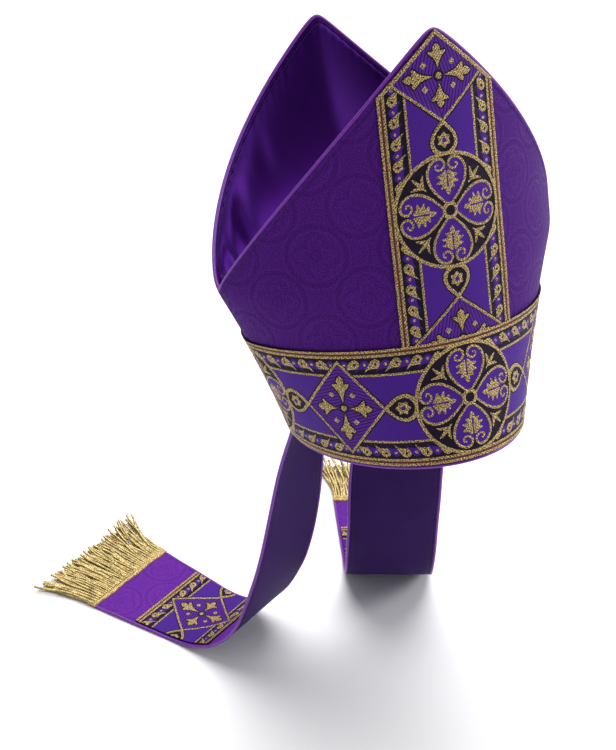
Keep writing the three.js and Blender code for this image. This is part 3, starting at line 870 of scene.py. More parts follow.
def laid_band(name, band, place):
    """Lays a flat band on the mitre: place gives points in metres for places and heights."""
    band.verts.ensure_lookup_table()
    flat = np.array([v.co for v in band.verts])
    band.faces.ensure_lookup_table()
    faces = [[v.index for v in f.verts] for f in band.faces]
    indices = [f.material_index for f in band.faces]
    band.free()
    edge_use = {}
    for face in faces:
        for a, b in zip(face, face[1:] + face[:1]):
            edge_use[(a, b)] = edge_use.get((a, b), 0) + 1
    rim = [(a, b) for a, b in edge_use if (b, a) not in edge_use]
    count = len(flat)
    under = flat.copy()
    under[:, 2] = -GALLOON_WALL
    used = {i: n for n, i in enumerate(sorted({i for pair in rim for i in pair}))}
    skirt = under[sorted(used)]
    for a, b in rim:
        faces.append([b, a, count + used[a], count + used[b]])
        indices.append(THREADS.index("black"))
    closing = geometry.delaunay_2d_cdt(
        [Vector(p[:2]) for p in skirt] + inner_grid(skirt),
        [(used[a], used[b]) for a, b in rim], [], 1, 1e-4, True,
    )
    bottom = np.array([(v[0], v[1], -GALLOON_WALL) for v in closing[0]])
    origin = [o[0] if o else -1 for o in closing[3]]
    corners = np.array([tuple(v) for v in closing[0]])
    centres = np.array([corners[list(face)].mean(0) for face in closing[2]])
    ring = np.array(sorted(rim))
    within = inside_edges(flat[ring[:, 0], :2], flat[ring[:, 1], :2], centres)
    places = np.concatenate([flat, skirt, bottom])
    lookup = [count + o if 0 <= o < len(skirt) else count + len(skirt) + n for n, o in enumerate(origin)]
    for face, kept in zip(closing[2], within):
        if kept:
            faces.append([lookup[i] for i in reversed(face)])
            indices.append(THREADS.index("black"))
    thing = mesh_object(name, place(places), faces, band_threads, places[:, :2] * MM, indices)
    drop_loose(thing)
    turn_outwards(thing)
    return thing


def inside_edges(start, end, points):
    """Whether each point lies inside the edges of a closed outline, given in any order."""
    height = points[:, None, 1]
    crossing = (start[:, 1] <= height) != (end[:, 1] <= height)
    rise = np.where(end[:, 1] == start[:, 1], 1.0, end[:, 1] - start[:, 1])
    at = start[:, 0] + (height - start[:, 1]) / rise * (end[:, 0] - start[:, 0])
    return (crossing & (at > points[:, None, 0])).sum(1) % 2 == 1


def inner_grid(skirt):
    low, high = skirt[:, :2].min(0), skirt[:, :2].max(0)
    s, t = np.meshgrid(
        np.arange(low[0] + 2, high[0] - 2, 6.0), np.arange(low[1] + 4, high[1] - 4, 8.0)
    )
    return [Vector(p) for p in np.stack([s.ravel(), t.ravel()], axis=1)]


def drop_loose(thing):
    work = bmesh.new()
    work.from_mesh(thing.data)
    loose = [v for v in work.verts if not v.link_faces]
    bmesh.ops.delete(work, geom=loose, context="VERTS")
    work.to_mesh(thing.data)
    work.free()


def gold_thread_finish(name, pale, deep, slant):
    """Gold-wrapped thread, woven in short slanting stitches, with painted glints on the stitch crests and
    specks and painted shade between them.
    """
    made = Finish(name, Metallic=0.4, Specular_IOR_Level=0.3)
    x, y = made.flat_place()
    stitch = (y + x * slant).waves(2.2)
    speck = made.grain(x, y, 0.9, 1.0) * 2.6 - 0.8
    # Where this share is high the gold is a painted glint, and where it is low it is painted shade between
    # the threads.
    bright = (stitch * 0.38 + speck * 1.15 - 0.34).math("MAXIMUM", 0.0).math("MINIMUM", 1.0)
    made.feed("Base Color", made.mix(bright, deep, pale))
    made.feed("Roughness", 0.55 - bright * 0.16)
    made.bump(stitch * 0.2 + speck * 0.14, MM)
    return made.material


def ground_finish(name, dark, light, pitch, slant, depth):
    """A silk ground woven in fine slanting lines."""
    made = Finish(name, Specular_IOR_Level=0.08)
    x, y = made.flat_place()
    lines = (y + x * slant).waves(pitch)
    grain = made.grain(x, y, 0.6)
    made.feed("Base Color", made.mix(lines * 0.6 + grain * 0.4, dark, light))
    made.feed("Roughness", 0.5 + grain * 0.12)
    made.bump(lines * depth + grain * 0.03, MM)
    return made.material


def ribbed_finish():
    """The lozenge's violet ground, with dark lines that meet in a chevron."""
    made = Finish("ribbed violet", Specular_IOR_Level=0.08)
    x, y = made.flat_place()
    s = x.math("WRAP", HALF_REPEAT, -HALF_REPEAT)
    line = (abs(y) + abs(s) * 0.3).waves(2.5).math("POWER", 3.0)
    grain = made.grain(x, y, 0.6)
    made.feed("Base Color", made.mix(line * 0.8 + grain * 0.2, dye(86, 36, 144), dye(22, 6, 48)))
    made.feed("Roughness", 0.5 + grain * 0.12)
    made.bump(grain * 0.04 - line * 0.2, MM)
    return made.material


band_threads = [
    # The pale gold is the painted glint and the deep brown is the painted shade between the threads.
    gold_thread_finish("gold thread", dye(214, 184, 120), dye(58, 40, 26), 0.9),
    ground_finish("black ground", dye(16, 10, 26), dye(30, 22, 44), 0.9, 1.0, 0.05),
    ground_finish("violet twill", dye(46, 16, 104), dye(82, 38, 146), 2.0, 0.9, 0.12),
    ribbed_finish(),
    ground_finish("brown edge", dye(58, 22, 34), dye(112, 60, 58), 1.0, 0.4, 0.15),
]


# ---- The circulus ---------------------------------------------------------------------------
# The galloon goes once round the rim, with a medallion at the front, and its ends meet at the
# middle of the back. It is sewn flat on the damask along both edges. Its figures are spaced out a
# little towards the back, so that an eye falls on the join.

CIRCULUS_MIDDLE = 44.5
CIRCULUS_HALF = 3 * HALF_REPEAT + EYE_AT    # each way, to the middle of an eye
EASED_FROM = 165.0                          # past this the straight band is eased to the shell


def shell_place(arc, z, lift):
    """Leaning points at arcs that may pass the side seams, round to the middle of the back."""
    girths = {side: shells[side].girth_at(z) for side in shells}
    on_front = np.abs(arc) <= girths["front"]
    share_front = arc / girths["front"]
    rest = (girths["front"] + girths["back"] - np.abs(arc)) / girths["back"]
    front = shells["front"].point(np.clip(share_front, -1, 1), z, -lift)
    back = shells["back"].point(np.clip(rest, 0, 1) * np.where(arc < 0, -1, 1), z, -lift)
    return leaning(np.where(on_front[..., None], front, back))


def circulus_place(flat):
    s = flat[:, 0] - HALF_REPEAT
    z = CIRCULUS_MIDDLE + flat[:, 1]
    girth = shells["front"].girth_at(z) + shells["back"].girth_at(z)
    ease = np.clip((np.abs(s) - EASED_FROM) / (CIRCULUS_HALF - EASED_FROM), 0, 1)
    ease = ease * ease * (3 - 2 * ease) * 0.5 + ease * 0.5
    arc = s + np.sign(s) * (girth - CIRCULUS_HALF) * ease
    return shell_place(arc, z, GALLOON_WALL + flat[:, 2])


circulus = laid_band(
    "circulus_galloon", flat_band(HALF_REPEAT - CIRCULUS_HALF, HALF_REPEAT + CIRCULUS_HALF), circulus_place
)
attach(circulus, "root")
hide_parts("circulus")
circulus_girth = 2 * sum(float(shells[side].girth_at(CIRCULUS_MIDDLE)) for side in shells)


# ---- The tituli -----------------------------------------------------------------------------
# A length of the galloon runs up the middle of each horn from the circulus to the peak. There it
# is cut along the horn's two edges, and one gold line follows the cut.

TITULUS_FOOT = 88.6
LOZENGE_HEIGHT = 266.5              # of the top lozenge above the rim
TITULUS_TOP = 3.6                   # from the outside of the piping to the cut
ROPE = 2.6                          # the gold line along the pointed end
POINT = {"arc": 6.0, "slope": 0.93}             # where the pointed end's straight lines start


def titulus(side):
    shell = shells[side]
    girth = float(shell.girth_at(CORNER_HEIGHT))
    band = flat_band(LOZENGE_HEIGHT - edge_height(side, 0.0), LOZENGE_HEIGHT - TITULUS_FOOT)
    peak = float(edge_height(side, POINT["arc"] / girth)) + POINT["arc"] * POINT["slope"]
    shoulder = float(edge_height(side, EDGE / girth))
    run = Vector((EDGE, shoulder - peak)).normalized()
    normal = Vector((-run.y, run.x))
    for sign in (1, -1):
        outward = (-normal.y, sign * normal.x)

        def through(distance):
            spot = Vector((0, peak)) - normal * distance
            return (LOZENGE_HEIGHT - spot.y, sign * spot.x)

        cut(band, through(TITULUS_TOP), outward)
        for distance in (ROPE / 2, ROPE):
            cut(band, through(TITULUS_TOP + distance), outward, clear=False)
    for face in band.faces:
        spot = face.calc_center_median()
        away = Vector((abs(spot.y), LOZENGE_HEIGHT - spot.x)) - Vector((0, peak))
        if -away.dot(normal) - TITULUS_TOP < ROPE:
            face.material_index = THREADS.index("gold")
    for vert in band.verts:
        away = Vector((abs(vert.co.y), LOZENGE_HEIGHT - vert.co.x)) - Vector((0, peak))
        distance = -away.dot(normal) - TITULUS_TOP
        if distance < ROPE + 0.01:
            from_line = abs(distance - ROPE / 2) / (ROPE / 2)
            vert.co.z = RELIEF * math.sqrt(max(1 - from_line**2, 0))

    def place(flat):
        z = LOZENGE_HEIGHT - flat[:, 0]
        share = flat[:, 1] * (1 if side == "front" else -1) / shell.girth_at(z)
        return leaning(shell.point(share, z, -(GALLOON_WALL + flat[:, 2])))

    return laid_band(f"{side}_titulus", band, place)


for side in ("front", "back"):
    piece = titulus(side)
    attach(piece, "root")
    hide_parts(f"titulus_{side}")


# ---- The pipings of the mitre -----------------------------------------------------------------
# Round cords covered in bright violet satin cut on the bias, sewn into the edges of the horns and
# round the rim. A row of small dark stitches holds each horn's piping down just inside it.

CORD_SIDES = 8
CORNER_MEET = 0.998                 # how near the corners the pipings come, as a share
STITCHED_TO = {"horn": 0.985, "web": 0.97}
RIM_PIPING_INSET = 0.8


def tree_of(title, result, inputs):
    """A new Geometry Nodes tree that takes lines, and the group input inside it."""
    tree = bpy.data.node_groups.new(title, "GeometryNodeTree")
    for name, kind in {"Lines": "Geometry", **inputs, "Material": "Material"}.items():
        tree.interface.new_socket(name, in_out="INPUT", socket_type=f"NodeSocket{kind}")
    tree.interface.new_socket(result, in_out="OUTPUT", socket_type="NodeSocketGeometry")
    nodes = Nodes(tree)
    return nodes, nodes.node("NodeGroupInput")


def points_along(nodes, given, step):
    """The lines as curves, with a point in every step."""
    curve = nodes.node("GeometryNodeMeshToCurve", {}, {"Mesh": given.out("Lines")})
    inputs = {"Curve": curve, "Length": given.out(step)}
    return nodes.node("GeometryNodeResampleCurve", {"mode": "LENGTH"}, inputs)


def finish_tree(nodes, given, result, made):
    """Ends a tree: realized, smooth, and in its material."""
    made = nodes.node("GeometryNodeRealizeInstances", {}, {"Geometry": made})
    made = nodes.node("GeometryNodeSetShadeSmooth", {}, {"Geometry": made})
    inputs = {"Geometry": made, "Material": given.out("Material")}
    nodes.node("NodeGroupOutput", {}, {result: nodes.node("GeometryNodeSetMaterial", {}, inputs)})
    return nodes.tree


def cord_tree():
    """Geometry Nodes: a cord of a few plies along each line, twisted once in every turn."""
    sizes = {"Radius": "Float", "Groove": "Float", "Step": "Float", "Turn": "Float", "Plies": "Int"}
    nodes, given = tree_of("cord along a line", "Cord", sizes)
    radius = given.out("Radius")
    curve = points_along(nodes, given, "Step")
    along = nodes.node("GeometryNodeSplineParameter").out("Length")
    total = nodes.node("GeometryNodeSplineLength").out("Length")
    tilt = along * (2 * math.pi) / given.out("Turn")
    curve = nodes.node("GeometryNodeSetCurveTilt", {}, {"Curve": curve, "Tilt": tilt})
    blunt = ((total - along) / radius * 0.6 + 0.4).math("MINIMUM", 1.0)
    curve = nodes.node("GeometryNodeSetCurveRadius", {}, {"Curve": curve, "Radius": blunt})
    groove = radius * given.out("Groove")
    star = {"Points": given.out("Plies"), "Inner Radius": groove, "Outer Radius": radius}
    profile = nodes.node("GeometryNodeCurveStar", {}, star)
    sweep = {"Curve": curve, "Profile Curve": profile, "Fill Caps": True}
    return finish_tree(nodes, given, "Cord", nodes.node("GeometryNodeCurveToMesh", {}, sweep))


def stitch_tree():
    """Geometry Nodes: a short rounded stitch in every pitch along each line."""
    sizes = {"Pitch": "Float", "Length": "Float", "Thickness": "Float"}
    nodes, given = tree_of("stitches along a line", "Stitches", sizes)
    curve = points_along(nodes, given, "Pitch")
    bead = nodes.node("GeometryNodeMeshUVSphere", {}, {"Segments": 6, "Rings": 5, "Radius": 0.5})
    thick = given.out("Thickness")
    size = nodes.node("ShaderNodeCombineXYZ", {}, {"X": given.out("Length"), "Y": thick, "Z": thick})
    tangent = nodes.node("GeometryNodeInputTangent")
    turn = nodes.node("FunctionNodeAlignRotationToVector", {"axis": "X"}, {"Vector": tangent})
    inputs = {"Points": curve, "Instance": bead, "Rotation": turn, "Scale": size}
    placed = nodes.node("GeometryNodeInstanceOnPoints", {}, inputs)
    return finish_tree(nodes, given, "Stitches", placed)


def grown(name, tree, lines, **sizes):
    """Runs a Geometry Nodes tree on lines of points in metres, and gives a plain mesh object.

    A line is (points, closed)."""
    points, edges = [], []
    for line, closed in lines:
        first = len(points)
        points += line.tolist()
        count = len(line)
        edges += [(first + i, first + (i + 1) % count) for i in range(count if closed else count - 1)]
    mesh = bpy.data.meshes.new("lines")
    mesh.from_pydata(points, edges, [])
    guide = bpy.data.objects.new("guide", mesh)
    bpy.context.scene.collection.objects.link(guide)
    modifier = guide.modifiers.new("grown", "NODES")
    modifier.node_group = tree
    sockets = {s.name: s.identifier for s in tree.interface.items_tree if s.in_out == "INPUT"}
    for size, value in sizes.items():
        modifier[sockets[size]] = value
    view = bpy.context.evaluated_depsgraph_get()
    result = bpy.data.meshes.new_from_object(guide.evaluated_get(view))
    bpy.data.objects.remove(guide)
    result.name = name
    thing = bpy.data.objects.new(name, result)
    bpy.context.scene.collection.objects.link(thing)
    return thing


def piping_finish():
    """Bias-cut satin, drawn tight over a cord, with fine slanting pulls."""
    made = Finish("piping satin", Specular_IOR_Level=0.45)
    pulls = made.speckle(420.0, 2.0)
    threads = made.speckle(1600.0)
    made.feed("Base Color", made.mix(pulls * 0.7 + threads * 0.3, dye(88, 22, 130), dye(122, 42, 164)))
    made.feed("Roughness", 0.34 + threads * 0.14)
    made.bump(pulls * 0.12 + threads * 0.03, MM)
    return made.material


def thread_finish(name, tone):
    made = Finish(name, Roughness=0.6)
    twist = made.speckle(3000.0)
    darker = [part * 0.6 for part in tone[:3]] + [1.0]
    made.feed("Base Color", made.mix(twist, darker, tone))
    made.bump(twist * 0.05, MM)
    return made.material


cords = cord_tree()
stitches = stitch_tree()
piping_satin = piping_finish()
violet_thread = thread_finish("violet thread", dye(34, 12, 66))
STITCH = {"Pitch": 2.6 * MM, "Length": 1.8 * MM, "Thickness": 0.42 * MM, "Material": violet_thread}
PIPING = {
    "Radius": 0.88 * PIPING_RADIUS * MM, "Groove": 1.0, "Step": 1.2 * MM, "Turn": 1.0,
    "Plies": CORD_SIDES, "Material": piping_satin,
}


def edge_line(side, reach, distance, inset, count=400):
    """A line along a horn's edge, at a distance from the outside of the piping."""
    shares = np.sin(np.linspace(-1, 1, count) * math.asin(reach))
    return leaning(web_edge(side, shares, distance, inset)), False


for side in ("front", "back"):
    inset = (HORN_WALL + 1.2) / 2 - 0.35
    piece = grown(f"{side}_piping", cords, [edge_line(side, CORNER_MEET, PIPING_RADIUS, inset)], **PIPING)
    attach(piece, "root")
    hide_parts(f"piping_horn_{side}")
    lines = [
        edge_line(side, STITCHED_TO["horn"], GROOVE["at"], GROOVE["depth"] - 0.1),
        edge_line(side, STITCHED_TO["web"], GROOVE["at"], WEB_INSET["stitch"] + 0.45),
    ]
    seam = grown(f"{side}_stitches", stitches, lines, **STITCH)
    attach(seam, "root")


def rim_line():
    """The closed line of the rim's piping."""
    halves = []
    for side, sign in (("front", 1), ("back", -1)):
        shares = np.linspace(-1, 1, 161)[:-1] * sign
        halves.append(shells[side].point(shares, 0.0, RIM_PIPING_INSET))
    line = np.concatenate(halves)
    line[:, 2] = -PIPING_RADIUS - 0.1
    return leaning(line), True


rim = grown("rim_piping", cords, [rim_line()], **PIPING)
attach(rim, "root")
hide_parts("piping_rim")


# ---- The lappets ----------------------------------------------------------------------------
# Two long ties of damask lined with satin, sewn inside the back of the rim and piped down both
# sides. They hang, bend and lie out on a level surface, each with a piece of the galloon across
# it near the end.

HEADING = math.radians(27)
TOUCH = {"out": 98.5, "back": 187.0, "down": 309.6}
PATH = (                            # run from the galloon, height above the surface, half width
    (-121, 287, 40), (-118, 251, 40), (-112, 200, 40.5), (-105, 155, 41), (-96, 114, 41),
    (-85, 78, 41.5), (-69, 44, 41.5), (-47, 19, 42), (-22, 5.5, 42.5), (0, 1.6, 43.5),
    (22, 1.6, 45.5), (44, 1.6, 47.5), (66, 1.6, 49.5), (97, 1.6, 52),
)
SEAT = {"inner": 23.0, "outer": 103.0, "above": 12.0, "below": 3.5}      # sewn inside the rim
EASING = 0.3                        # share of the length that eases the rim's curve out
LAPPET_WALL = 2.2
LAPPET_INSET = 4.2
LAPPET_EDGE = {"inset": 2.3, "taper": 3.2, "half": 0.25, "puckered": 5.0}
LAPPET_GROOVE = {"at": 3.0, "half": 0.8, "depth": 0.4}
LAPPET_COLUMNS = 49
LAPPET_ROWS = 190
BRAID_DEPTH = 9.0
LAPPET_SLACK = {"wave": 1.3, "pucker": 0.35, "pitch": 11.0}


def centripetal(knots, pieces=60):
    """A centripetal Catmull-Rom line through the knots."""
    knots = np.asarray(knots, float)
    padded = np.concatenate([2 * knots[:1] - knots[1:2], knots, 2 * knots[-1:] - knots[-2:-1]])

    def between(a, b, start, stop, t):
        return a + (b - a) * (t - start) / (stop - start)

    line = []
    for p in (padded[i:i + 4] for i in range(len(knots) - 1)):
        k = np.concatenate([[0], np.cumsum(np.linalg.norm(np.diff(p, axis=0), axis=1) ** 0.5)])
        for t in np.linspace(k[1], k[2], pieces, endpoint=False):
            first = [between(p[i], p[i + 1], k[i], k[i + 1], t) for i in range(3)]
            second = [between(first[i], first[i + 1], k[i], k[i + 2], t) for i in range(2)]
            line.append(between(second[0], second[1], k[1], k[2], t))
    line.append(knots[-1])
    return np.array(line)


centre_line = centripetal(PATH)
line_lengths = np.concatenate([[0], np.cumsum(np.linalg.norm(np.diff(centre_line, axis=0), axis=1))])
LAPPET_LENGTH = float(line_lengths[-1])
TOUCH_LENGTH = float(np.interp(0.0, centre_line[:, 0], line_lengths))


class Lappet:
    """The middle of one lappet's cloth, in millimetres, upright in the frame of the whole.

    A place on it is a length from the rim and a share across, -1 inner to 1 outer."""

    def __init__(self, sign):
        self.sign = sign
        self.heading = np.array([sign * math.sin(HEADING), math.cos(HEADING), 0])
        self.crosswise = np.array([sign * math.cos(HEADING), -math.sin(HEADING), 0])
        self.touch = np.array([sign * TOUCH["out"], TOUCH["back"], -TOUCH["down"]])

    def half(self, length):
        return np.interp(length, line_lengths, centre_line[:, 2])

    def seat(self, across, z):
        middle, reach = (SEAT["inner"] + SEAT["outer"]) / 2, (SEAT["outer"] - SEAT["inner"]) / 2
        level = np.maximum(z, 0)
        share = self.sign * (middle + across * reach) / shells["back"].girth_at(level)
        foot = shells["back"].point(share, level, LAPPET_INSET)
        foot[..., 2] = z
        return leaning(foot) / MM

    def laid(self, length, across):
        run = np.interp(length, line_lengths, centre_line[:, 0])[..., None]
        rise = np.interp(length, line_lengths, centre_line[:, 1])[..., None]
        side = (across * self.half(length))[..., None]
        return self.touch + self.heading * run + self.crosswise * side + np.array([0, 0, 1.0]) * rise

    def middle(self, length, across):
        length, across = np.broadcast_arrays(np.asarray(length, float), np.asarray(across, float))
        place = self.laid(np.maximum(length, 0), across)
        fade = np.clip(1 - length / (EASING * LAPPET_LENGTH), 0, 1)[..., None] ** 2
        rim = self.seat(across, np.full(across.shape, -SEAT["below"]))
        place = place + (rim - self.laid(np.zeros(across.shape), across)) * fade
        above = self.seat(across, np.minimum(-SEAT["below"] - length, SEAT["above"]))
        return np.where((length < 0)[..., None], above, place)

    def raised(self, length, across, lift):
        """Points moved off the middle of the cloth, towards its damask face."""
        length, across = np.broadcast_arrays(np.asarray(length, float), np.asarray(across, float))
        ahead = self.middle(length + 2, across) - self.middle(length - 2, across)
        span = self.middle(length, across + 0.05) - self.middle(length, across - 0.05)
        normal = np.cross(ahead, span) * -self.sign
        normal /= np.linalg.norm(normal, axis=-1, keepdims=True)
        hanging = np.clip((TOUCH_LENGTH - 70 - length) / 60, 0, 1) * np.clip(length / 60, 0, 1)
        sway = LAPPET_SLACK["wave"] * np.sin(length / 31.0 + across * 1.3) * hanging
        lying = np.clip((length - TOUCH_LENGTH - 40) / 30, 0, 1)
        sway = sway + 0.35 * (1 + np.sin(length / 9.0 + across * 2.1)) * lying
        return (self.middle(length, across) + normal * (sway + lift)[..., None]) * MM

    def cloth(self, name):
        lengths = np.concatenate([
            np.linspace(-SEAT["above"] - SEAT["below"], -1, 9), np.linspace(0, LAPPET_LENGTH, LAPPET_ROWS)
        ])[:, None]
        spread = np.sin(np.linspace(-math.pi / 2, math.pi / 2, LAPPET_COLUMNS))
        half = self.half(np.maximum(lengths, 0))
        across = spread * (half - LAPPET_EDGE["inset"]) / half
        from_edge = (1 - np.abs(across)) * half - LAPPET_EDGE["inset"]
        full = np.clip(from_edge / LAPPET_EDGE["taper"], 0, 1)
        thin = LAPPET_EDGE["half"]
        thick = thin + (LAPPET_WALL / 2 - thin) * np.sqrt(full * (2 - full))
        for edge in (1, -1):
            nearness = np.exp(-from_edge / LAPPET_EDGE["puckered"]) * (np.sign(across) == edge)
            wave = ripple(lengths, LAPPET_SLACK["pitch"], 31 + edge)
            thick = thick + LAPPET_SLACK["pucker"] * wave * nearness * full
        from_groove = (from_edge - LAPPET_GROOVE["at"]) / LAPPET_GROOVE["half"]
        thick = thick - LAPPET_GROOVE["depth"] * np.exp(-(from_groove**2))
        uv = np.stack([across * half, np.broadcast_to(lengths, across.shape)], axis=-1).reshape(-1, 2) * MM
        return wall(
            name, self.raised(lengths, across, thick), self.raised(lengths, across, -thick),
            uv, [lappet_damask_painted_light, lappet_satin],
        )

    def edge(self, edge_sign, inside, lift, start, stop, count=260):
        """A line along one edge, at a distance inside it."""
        lengths = np.linspace(start, stop, count)
        half = self.half(lengths)
        return self.raised(lengths, edge_sign * (half - inside) / half, np.full(count, lift)), False


# The horns' damask in lighter tones, as painted light on the lying lappets.
lappet_damask_painted_light = damask_finish("lappet damask", (dye(84, 28, 130), dye(118, 54, 166), dye(60, 16, 102)))
lappet_satin = satin_finish("lappet satin", dye(40, 16, 70), dye(52, 24, 90), 0.55, 0.05)
PIECE_HALF = 42.0                   # half the length of galloon on a lappet
sides = {"right": Lappet(-1), "left": Lappet(1)}

for name, side in sides.items():
    cloth = side.cloth(f"{name}_lappet")
    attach(cloth, "root")
    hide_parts(f"lappet_{name}")
    flat_area(cloth)

    def on_lappet(flat):
        length = TOUCH_LENGTH + flat[:, 1]
        half = side.half(length)
        across = side.sign * flat[:, 0] / PIECE_HALF * (half - 3.4) / half
        return side.raised(length, across, LAPPET_WALL / 2 - 0.2 + GALLOON_WALL + flat[:, 2])

    piece = laid_band(f"{name}_galloon", flat_band(-PIECE_HALF, PIECE_HALF), on_lappet)
    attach(piece, "root")
    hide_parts(f"lappet_{name}_galloon")

    braid_start = LAPPET_LENGTH - BRAID_DEPTH
    for label, edge_sign in (("inner", -1), ("outer", 1)):
        line = side.edge(edge_sign, PIPING_RADIUS, 0.0, 4.0, braid_start + 2)
        cord = grown(f"{name}_piping_{label}", cords, [line], **PIPING)
        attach(cord, "root")
        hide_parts(f"lappet_{name}_piping_{label}")
    lines = [
        side.edge(edge_sign, 5.2, face * (LAPPET_WALL / 2 - 0.35), 6.0, braid_start)
        for edge_sign in (-1, 1) for face in (-1, 1)
    ]
    seam = grown(f"{name}_stitches", stitches, lines, **STITCH)
    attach(seam, "root")


# ---- The braids and fringes -------------------------------------------------------------------
# A narrow gold braid is sewn over the end of each lappet, and heads a fringe of twisted bullion
# strands. They lie three deep, fan out a little, and a few at the far end stray and curl.

BRAID = {"wall": 2.3, "rib": 1.7, "rows": 4, "relief": 0.42, "columns": 400, "depth_steps": 29}
FRINGE = {"length": 57.0, "half": 62.0, "radius": 1.4, "per_layer": 44}
LAYERS = ((1.6, 1.5), (3.4, 3.1), (5.1, 4.6))      # height at the braid, and further out
STRAND = {"shortest": 0.86, "drift": 4.2, "curl": 1.1, "sway": (0.8, 2.6), "lift": (0.2, 1.0)}
STRAY = {"share": 0.32, "from": -0.5, "curl": (4.0, 11.0), "drift": (4.0, 12.0)}
SEED = 7


def braid(name, side):
    depth = np.linspace(0, 1, BRAID["depth_steps"])[:, None]
    across = np.linspace(-1, 1, BRAID["columns"])[None]
    length = LAPPET_LENGTH - BRAID_DEPTH * (1 - depth) + 0.45 * np.sin(across * 9.0) * (1 - depth)
    length = np.minimum(length + 0.6 * depth, LAPPET_LENGTH + 0.6)
    row = depth * BRAID["rows"]
    slant = np.where(np.floor(row) % 2 == 0, 1, -1)
    in_row = row - np.floor(row)
    half = side.half(length)
    along = across * half
    ribs = np.abs(np.sin(math.pi * (along + slant * in_row * BRAID["rib"] * 0.9) / BRAID["rib"]))
    rows = np.abs(np.sin(math.pi * row)) ** 0.5
    edge = np.minimum(np.minimum(depth, 1 - depth) / 0.08, 1)
    ends = np.minimum((1 - np.abs(across)) / 0.02, 1)
    body = LAPPET_WALL / 2 + 0.35 + (BRAID["wall"] - 0.9) * np.sqrt(edge * ends)
    top = body + BRAID["relief"] * ribs * rows * edge
    bottom = np.full(top.shape, LAPPET_WALL / 2 - 0.3)
    uv = np.stack(np.broadcast_arrays(along, depth * BRAID_DEPTH), axis=-1).reshape(-1, 2) * MM
    return wall(
        name, side.raised(length, across, top), side.raised(length, across, bottom), uv,
        [braid_gold, braid_gold],
    )


def bullion_finish():
    """Gold-wrapped bullion, with random pale specks as painted glints and brown between them as painted
    shade.
    """
    made = Finish("bullion gold", Metallic=0.5, Specular_IOR_Level=0.5)
    glint_specks, tone = made.speckle(900.0, 2.0), made.speckle(160.0)
    # The pale specks are painted glints, and the brown between them is painted shade.
    made.feed("Base Color", made.mix(glint_specks * 2.8 + tone * 0.8 - 1.25, dye(112, 78, 32), dye(255, 234, 164)))
    made.feed("Roughness", 0.5 - glint_specks * 0.14)
    made.bump(glint_specks * 0.07, MM)
    return made.material


def fringe_lines(side, draw):
    """The middle lines of all the strands of one fringe."""
    end = PATH[-1]
    out = np.linspace(0, 1, 12)
    lines = []
    for at_braid, further in LAYERS:
        for i in range(FRINGE["per_layer"]):
            across = -1 + 2 * (i + 0.5 + draw.uniform(-0.3, 0.3)) / FRINGE["per_layer"]
            length = FRINGE["length"] * draw.uniform(STRAND["shortest"], 1.0)
            drift = draw.normal(0, STRAND["drift"])
            stray = across < STRAY["from"] and draw.uniform() < STRAY["share"]
            curl = draw.uniform(*STRAY["curl"]) if stray else abs(draw.normal(0, STRAND["curl"]))
            drift += -draw.uniform(*STRAY["drift"]) if stray else 0
            sway, phase = draw.uniform(*STRAND["sway"]), draw.uniform(0, 2 * math.pi)
            run = end[0] - 6 + (length + 6) * out
            offset = across * (end[2] - 1.2) + across * (FRINGE["half"] - end[2]) * out**1.4
            offset = offset + drift * out**2 + sway * np.sin(out * 7 + phase) * out
            height = at_braid + (further - at_braid) * np.minimum(out * 2, 1)
            height = height + 0.9 * np.sin(math.pi * out) * draw.uniform(*STRAND["lift"]) + curl * out**3
            height = np.maximum(height, FRINGE["radius"] + 0.1)
            points = side.touch + np.outer(run, side.heading) + np.outer(offset, side.crosswise)
            points[:, 2] += height
            lines.append((points * MM, False))
    return lines


# The pale gold is the painted glint and the deeper gold is the painted shade between the threads.
braid_gold = gold_thread_finish("braid gold", dye(240, 216, 152), dye(150, 116, 60), 0.2)
bullion_gold = bullion_finish()
BULLION = {
    "Radius": FRINGE["radius"] * MM, "Groove": 0.5, "Step": 0.85 * MM, "Turn": 6.5 * MM,
    "Plies": 2, "Material": bullion_gold,
}

for name, side in sides.items():
    heading = braid(f"{name}_braid", side)
    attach(heading, "root")
    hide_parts(f"lappet_{name}_braid")
    strands = grown(f"{name}_fringe", cords, fringe_lines(side, np.random.default_rng(SEED)), **BULLION)
    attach(strands, "root")
    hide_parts(f"lappet_{name}_fringe")


# ---- The floor, the lights and the camera -----------------------------------------------------
# A plain pale floor under the lappets, a wide soft light overhead and a soft key light to the
# right. The surround lights the mitre dimly, and is seen as a plain white backdrop.

CAMERA = {"azimuth": -26.5, "elevation": 32.05, "distance": 1.1449, "lens": 73.2}
AIM = Vector((-0.0645, 0.0322, 0.0357))
FLOOR_HALF = 60.0
SURROUND = 0.34                     # how brightly it lights the mitre

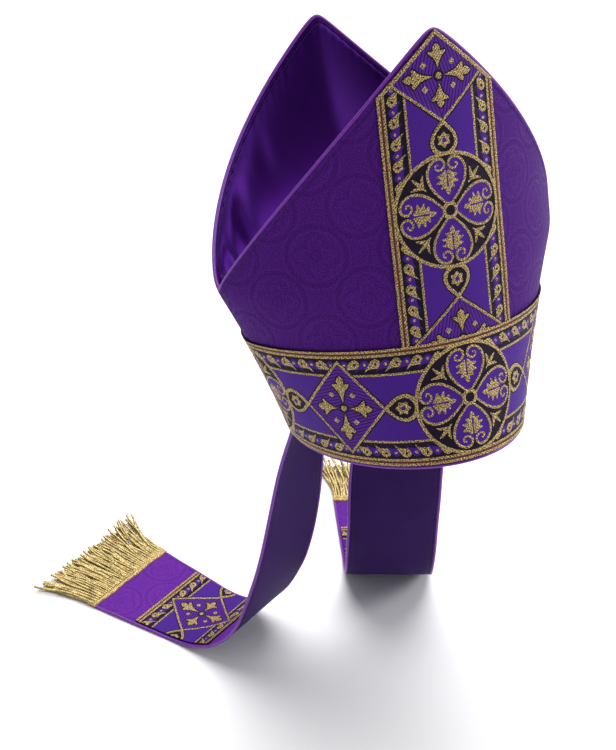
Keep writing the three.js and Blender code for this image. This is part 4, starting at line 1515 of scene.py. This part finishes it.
level = cad_box[0][2] - 0.0003
floor = mesh_object(
    "floor", np.array([(x, y, level) for x, y in ((-1, -1), (1, -1), (1, 1), (-1, 1))])
    * np.array([FLOOR_HALF, FLOOR_HALF, 1]), [(0, 1, 2, 3)], [],
)
pale = Finish("pale floor", Roughness=0.9, Specular_IOR_Level=0.1)
pale.surface.inputs["Base Color"].default_value = dye(244, 244, 246)
floor.data.materials.append(pale.material)

surround = bpy.data.worlds.new("surround")
surround.use_nodes = True
background = surround.node_tree.nodes["Background"]
background.inputs["Color"].default_value = (1.0, 1.0, 1.0, 1.0)
background.inputs["Strength"].default_value = SURROUND
nodes = surround.node_tree.nodes
links = surround.node_tree.links
backdrop = nodes.new("ShaderNodeBackground")
backdrop.inputs["Color"].default_value = (1.0, 1.0, 1.0, 1.0)
seen = nodes.new("ShaderNodeLightPath")
either = nodes.new("ShaderNodeMixShader")
links.new(seen.outputs["Is Camera Ray"], either.inputs["Fac"])
links.new(background.outputs["Background"], either.inputs[1])
links.new(backdrop.outputs["Background"], either.inputs[2])
links.new(either.outputs["Shader"], nodes["World Output"].inputs["Surface"])
bpy.context.scene.world = surround
bpy.context.scene.view_settings.view_transform = "Standard"


def lamp(name, kind, place, energy, **shape):
    """A light at a place, turned towards the mitre."""
    light = bpy.data.lights.new(name, kind)
    light.energy = energy
    for setting, value in shape.items():
        setattr(light, setting, value)
    made = bpy.data.objects.new(name, light)
    made.location = place
    made.rotation_euler = (Vector((0, 0.05, 0)) - Vector(place)).to_track_quat("-Z", "Y").to_euler()
    bpy.context.scene.collection.objects.link(made)


lamp("overhead", "SUN", (0.3, 0.6, 1.9), 3.4, angle=math.radians(55))
lamp("key", "AREA", (2.0, -0.5, 0.8), 26.0, size=0.9)

azimuth, elevation = math.radians(CAMERA["azimuth"]), math.radians(CAMERA["elevation"])
back = Vector((
    math.sin(azimuth) * math.cos(elevation), -math.cos(azimuth) * math.cos(elevation), math.sin(elevation)
))
lens = bpy.data.cameras.new("camera")
lens.lens = CAMERA["lens"]
camera = bpy.data.objects.new("camera", lens)
camera.location = AIM + back * CAMERA["distance"]
camera.rotation_euler = back.to_track_quat("Z", "Y").to_euler()
bpy.context.scene.collection.objects.link(camera)
bpy.context.scene.camera = camera
